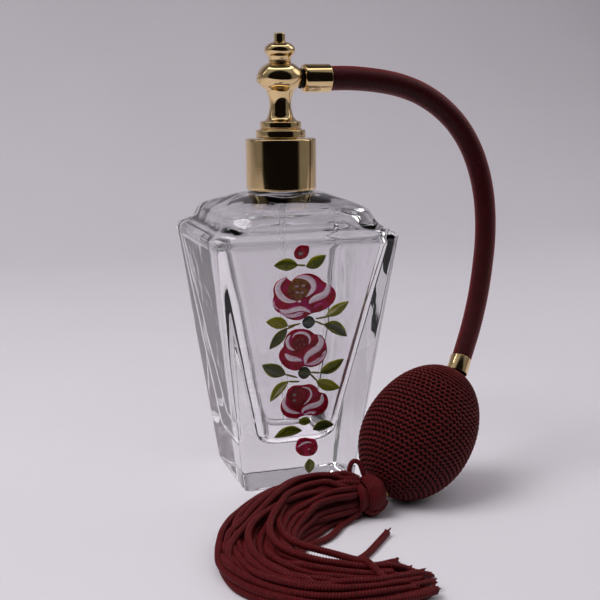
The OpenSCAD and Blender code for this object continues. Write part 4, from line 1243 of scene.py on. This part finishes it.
def cord_tree(material):
    """Sweeps a ribbed round cord along every line, thick as the line's "thickness" says."""
    tree = bpy.data.node_groups.new("ribbed_cords", "GeometryNodeTree")
    for name, kind in (("Lines", "NodeSocketGeometry"), ("Cord Radius", "NodeSocketFloat"),
                       ("Rib Spacing", "NodeSocketFloat"), ("Rib Depth", "NodeSocketFloat"),
                       ("Sides", "NodeSocketInt")):
        tree.interface.new_socket(name, in_out="INPUT", socket_type=kind)
    tree.interface.new_socket("Cords", in_out="OUTPUT", socket_type="NodeSocketGeometry")
    given = add_node(tree, "NodeGroupInput").outputs
    lines = add_node(tree, "GeometryNodeMeshToCurve", {"Mesh": given["Lines"]})
    third = add_node(tree, "ShaderNodeMath", {0: given["Rib Spacing"], 1: 3.0}, operation="DIVIDE")
    even = add_node(tree, "GeometryNodeResampleCurve", {"Curve": lines.outputs[0],
                                                        "Length": third.outputs[0]},
                    mode="LENGTH")
    spline = add_node(tree, "GeometryNodeSplineParameter")
    along = add_node(tree, "ShaderNodeMath", {0: spline.outputs["Length"], 1: given["Rib Spacing"]},
                     operation="DIVIDE")
    measured = add_node(tree, "GeometryNodeStoreNamedAttribute",
                        {"Geometry": even.outputs[0], "Name": "along", "Value": along.outputs[0]},
                        data_type="FLOAT", domain="POINT")
    thickness = add_node(tree, "GeometryNodeInputNamedAttribute", {"Name": "thickness"}, data_type="FLOAT")
    circle = add_node(tree, "GeometryNodeCurvePrimitiveCircle",
                      {"Resolution": given["Sides"], "Radius": given["Cord Radius"]})
    ring_place = add_node(tree, "GeometryNodeSplineParameter")
    marked = add_node(tree, "GeometryNodeStoreNamedAttribute",
                      {"Geometry": circle.outputs[0], "Name": "round", "Value": ring_place.outputs["Factor"]},
                      data_type="FLOAT", domain="POINT")
    swept = add_node(tree, "GeometryNodeCurveToMesh",
                     {"Curve": measured.outputs[0], "Profile Curve": marked.outputs[0],
                      "Scale": thickness.outputs[0], "Fill Caps": True})
    along_again = add_node(tree, "GeometryNodeInputNamedAttribute", {"Name": "along"}, data_type="FLOAT")
    round_again = add_node(tree, "GeometryNodeInputNamedAttribute", {"Name": "round"}, data_type="FLOAT")
    phase = add_node(tree, "ShaderNodeMath", {0: along_again.outputs[0], 1: round_again.outputs[0]},
                     operation="ADD")
    angle = add_node(tree, "ShaderNodeMath", {0: phase.outputs[0], 1: 2 * math.pi}, operation="MULTIPLY")
    wave = add_node(tree, "ShaderNodeMath", {0: angle.outputs[0]}, operation="SINE")
    # crest from the rib wave sets the colour too: painted shade in the grooves between ribs.
    crest = add_node(tree, "ShaderNodeMapRange", {0: wave.outputs[0], 1: -1.0, 2: 1.0})
    coloured = add_node(tree, "GeometryNodeStoreNamedAttribute",
                        {"Geometry": swept.outputs[0], "Name": "crest", "Value": crest.outputs[0]},
                        data_type="FLOAT", domain="POINT")
    thick_again = add_node(tree, "GeometryNodeInputNamedAttribute", {"Name": "thickness"}, data_type="FLOAT")
    reach = add_node(tree, "ShaderNodeMath", {0: wave.outputs[0], 1: given["Rib Depth"]},
                     operation="MULTIPLY")
    reach = add_node(tree, "ShaderNodeMath", {0: reach.outputs[0], 1: thick_again.outputs[0]},
                     operation="MULTIPLY")
    normal = add_node(tree, "GeometryNodeInputNormal")
    offset = add_node(tree, "ShaderNodeVectorMath", {0: normal.outputs[0], 3: reach.outputs[0]},
                      operation="SCALE")
    ribbed = add_node(tree, "GeometryNodeSetPosition",
                      {"Geometry": coloured.outputs[0], "Offset": offset.outputs[0]})
    smooth = add_node(tree, "GeometryNodeSetShadeSmooth", {"Geometry": ribbed.outputs[0]})
    solid = add_node(tree, "GeometryNodeRealizeInstances", {"Geometry": smooth.outputs[0]})
    finished = add_node(tree, "GeometryNodeSetMaterial", {"Geometry": solid.outputs[0], "Material": material})
    add_node(tree, "NodeGroupOutput", {"Cords": finished.outputs[0]})
    return tree


def cords(name, lines, tree, radius, rib, depth):
    """Cords along lines of (points in mm, thickness at each point)."""
    points, edges, thickness = [], [], []
    for path, thick in lines:
        first = len(points)
        points.extend(path)
        thickness.extend(thick)
        edges.extend((first + i, first + i + 1) for i in range(len(path) - 1))
    host = make_piece(name + "_lines", np.array(points) * MM, [], None, edges=edges)
    store(host, "thickness", thickness)
    sizes = {"Cord Radius": radius * MM, "Rib Spacing": rib * MM, "Rib Depth": depth * MM, "Sides": 8}
    return run_tree(host, tree, sizes, name)


def frayed_end(path, rng):
    """Short fibres that splay out of a cut end."""
    end, way = path[-1], unit(path[-1] - path[-3])
    lines = []
    for _ in range(11):
        lean = unit(way + np.array([rng.uniform(-0.4, 0.4) for _ in range(3)]))
        length = rng.uniform(0.7, 1.7)
        base = end - way * 0.6 + np.array([rng.uniform(-0.55, 0.55) for _ in range(3)])
        curl = np.array([rng.uniform(-0.3, 0.3) for _ in range(3)])
        t = np.linspace(0, 1, 4)[:, None]
        fibre = base + lean * t * length + curl * t**2
        fibre[:, 2] = np.maximum(fibre[:, 2], 0.25)
        lines.append((fibre, [0.3, 0.3, 0.26, 0.16]))
    return lines


def tassel_pieces():
    """Skirt cords with frayed ends, wrapped knot, its winding at the neck, and the tie loop."""
    rng = random.Random(21)
    material = yarn("plaited_viscose_cord", "#160103", "#6E171B", roughness=0.55)
    tree = cord_tree(material)
    bundle = skirt_strands()
    strands = np.concatenate([bundle, loose_strands(bundle.shape[1])])
    strands = settle(strands, 2, 60)
    groups = {"tassel_cords_under": [], "tassel_cords_over": []}
    names = list(groups)
    for k, strand in enumerate(strands):
        path = smooth_path(strand[::2], 0.7)
        if k < len(bundle):
            path = path[: len(path) - rng.randrange(5, 18)]
        taper = 1 - 0.15 * ease(np.linspace(0, 1, len(path)), 0.985, 1.0)
        group = groups[names[k % 2]]
        group.append((path, taper))
        group.extend(frayed_end(path, rng))
    pieces = [cords(name, lines, tree, cord_r, 0.8, 0.12) for name, lines in groups.items()]

    thread = yarn("wound_viscose_thread", "#200305", "#741A20", roughness=0.55)
    thread_tree = cord_tree(thread)
    a = np.linspace(-3.75, 3.0, 560)
    wound_r = head_r * np.sqrt(1 - (a / head_half) ** 2) - 0.34
    angle = 2 * math.pi * (a - a[0]) / 0.62
    winding = np.stack([wound_r * np.cos(angle), wound_r * np.sin(angle), a], 1)
    lines = [(placed(winding), np.ones(len(a)))]
    for k, turn in enumerate(np.radians((128, 152, 178, 204, 230))):
        b = np.linspace(-3.3, 3.1, 24)
        over_r = head_r * np.sqrt(1 - (b / 4.6) ** 2) - 0.1
        twist = turn + 0.10 * b * (1 if k % 2 else -1)
        lines.append((placed(np.stack([over_r * np.cos(twist), over_r * np.sin(twist), b], 1)),
                      1.9 * np.ones(24)))
    knot = cords("wrapped_knot", lines, thread_tree, 0.4, 0.7, 0.04)
    # The core stores no "crest", so the thread material gives it its darkest groove colour all over: painted
    # shade between the windings.
    core_profile = [(0, -3.9)] + arc(0, 0, head_r - 0.55, head_half - 0.3, -80, 44, 24) + [(0, 2.9)]
    core = turned("knot_core", core_profile, head_place, thread, 48)

    b = np.linspace(0, 1, 260)
    neck_r = 3.5 + 0.75 * np.sin(b * math.pi)
    neck_angle = 2 * math.pi * 5 * b
    neck = np.stack([neck_r * np.cos(neck_angle), neck_r * np.sin(neck_angle), 3.2 + 2.0 * b], 1)
    binding = cords("neck_binding", [(placed(neck), np.ones(len(b)))], thread_tree, 0.4, 0.7, 0.04)

    tie_route = [(11.4, -44.4, 9.9), (10.8, -43.8, 12.2), (10.2, -43.3, 14.3), (9.6, -43, 15.3),
                 (8.5, -42.7, 15.6),
                 (7.6, -42.6, 14.9), (7, -42.7, 13), (7.4, -43.1, 11.1), (8.6, -43.8, 10.2),
                 (9.6, -44.8, 9.4)]
    tie_path = smooth_path(tie_route, 0.5)
    tie = cords("tie_loop", [(tie_path, np.ones(len(tie_path)))], thread_tree, 0.72, 0.7, 0.08)
    return pieces, knot, core, binding, tie


def placed(points):
    """Points drawn about the knot's own axis, in their place, in mm."""
    turn = np.array(head_place.to_3x3())
    return np.asarray(points) @ turn.T + head_at


# ---------- everything together ----------

bpy.context.scene.view_settings.view_transform = "Standard"
add_camera()
add_stage()
add_world()
add_lamp("overhead_left", (-0.45, -0.05, 0.75), (0, 0, 0.04), 0.5, 4.3)
add_lamp("side_right", (0.75, 0.1, 0.35), (0, 0, 0.06), 0.5, 1.2)

hose, hose_path = braided_hose()
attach(hose, "air_line")
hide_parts("hose_sleeve")

gold = plated_gold()
brass = raw_brass()
black_rubber = soft_compound("moulded_black_rubber", "#0B0B0C", "#17171A", 1300.0, 0.6, 0.35, 0.04)
latex = soft_compound("dipped_black_latex", "#120E0E", "#201A1A", 600.0, 0.5, 0.4, 0.05)
polythene = soft_compound("moulded_white_polyethylene", "#E2E1DC", "#F0EFEA", 500.0, 0.42, 0.45, 0.03)
elastomer = soft_compound("grey_moulded_elastomer", "#3A3A3C", "#4C4C4F", 900.0, 0.65, 0.35, 0.04)
tube = clear_tube()
inner_materials = {
    "neck_gasket": elastomer, "neck_plug": polythene, "dip_tube": tube, "feed_stem": tube,
    "retaining_washer": brass, "nozzle_insert": gold, "connector_washer": black_rubber,
    "connector_nipple": brass, "collar_insert": polythene, "hose_barb": brass, "hose_liner": latex,
    "bulb_barb": brass, "intake_valve_body": brass, "intake_valve_ball": polished_steel(),
}
for node, material in inner_materials.items():
    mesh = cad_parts[node].data
    mesh.materials.clear()
    mesh.materials.append(material)

net_yarn = yarn("crocheted_viscose_net", "#0C0202", "#631A1C", roughness=0.6)
made = [
    (glass_bottle(), "bottle", "glass_bottle", "glass"),
    (drawn_collar(gold), "collar", "collar_shell", "gold_plate"),
    (turned_head(gold), "head", "head_body", "gold_plate"),
    (turned_finial(gold), "head", "finial", "gold_plate"),
    (hose_ferrule(gold), "air_line", "head_ferrule", "gold_plate"),
    (squeeze_ferrule(gold), "air_line", "bulb_ferrule", "gold_plate"),
]
for piece, body, node, finish in made:
    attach(piece, body)
    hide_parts(node)

roses = painted_roses()
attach(roses, "bottle")

net = netted_bulb(net_yarn)
shade_skin = net_shade_skin()
rubber = squeeze_bulb(latex)
for piece, node, finish in ((net, "bulb_net", "net"), (shade_skin, None, "net"),
                            (rubber, "rubber_bulb", "black_rubber")):
    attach(piece, "air_line")
    if node:
        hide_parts(node)
    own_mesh(piece)

skirt_pieces, knot, core, binding, tie = tassel_pieces()
for piece, nodes in (
    (skirt_pieces[0], ["tassel_skirt"]), (skirt_pieces[1], []), (knot, ["tassel_head"]), (core, []),
    (binding, ["tassel_binding"]), (tie, ["tassel_tie"]),
):
    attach(piece, "tassel")
    if nodes:
        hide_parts(*nodes)
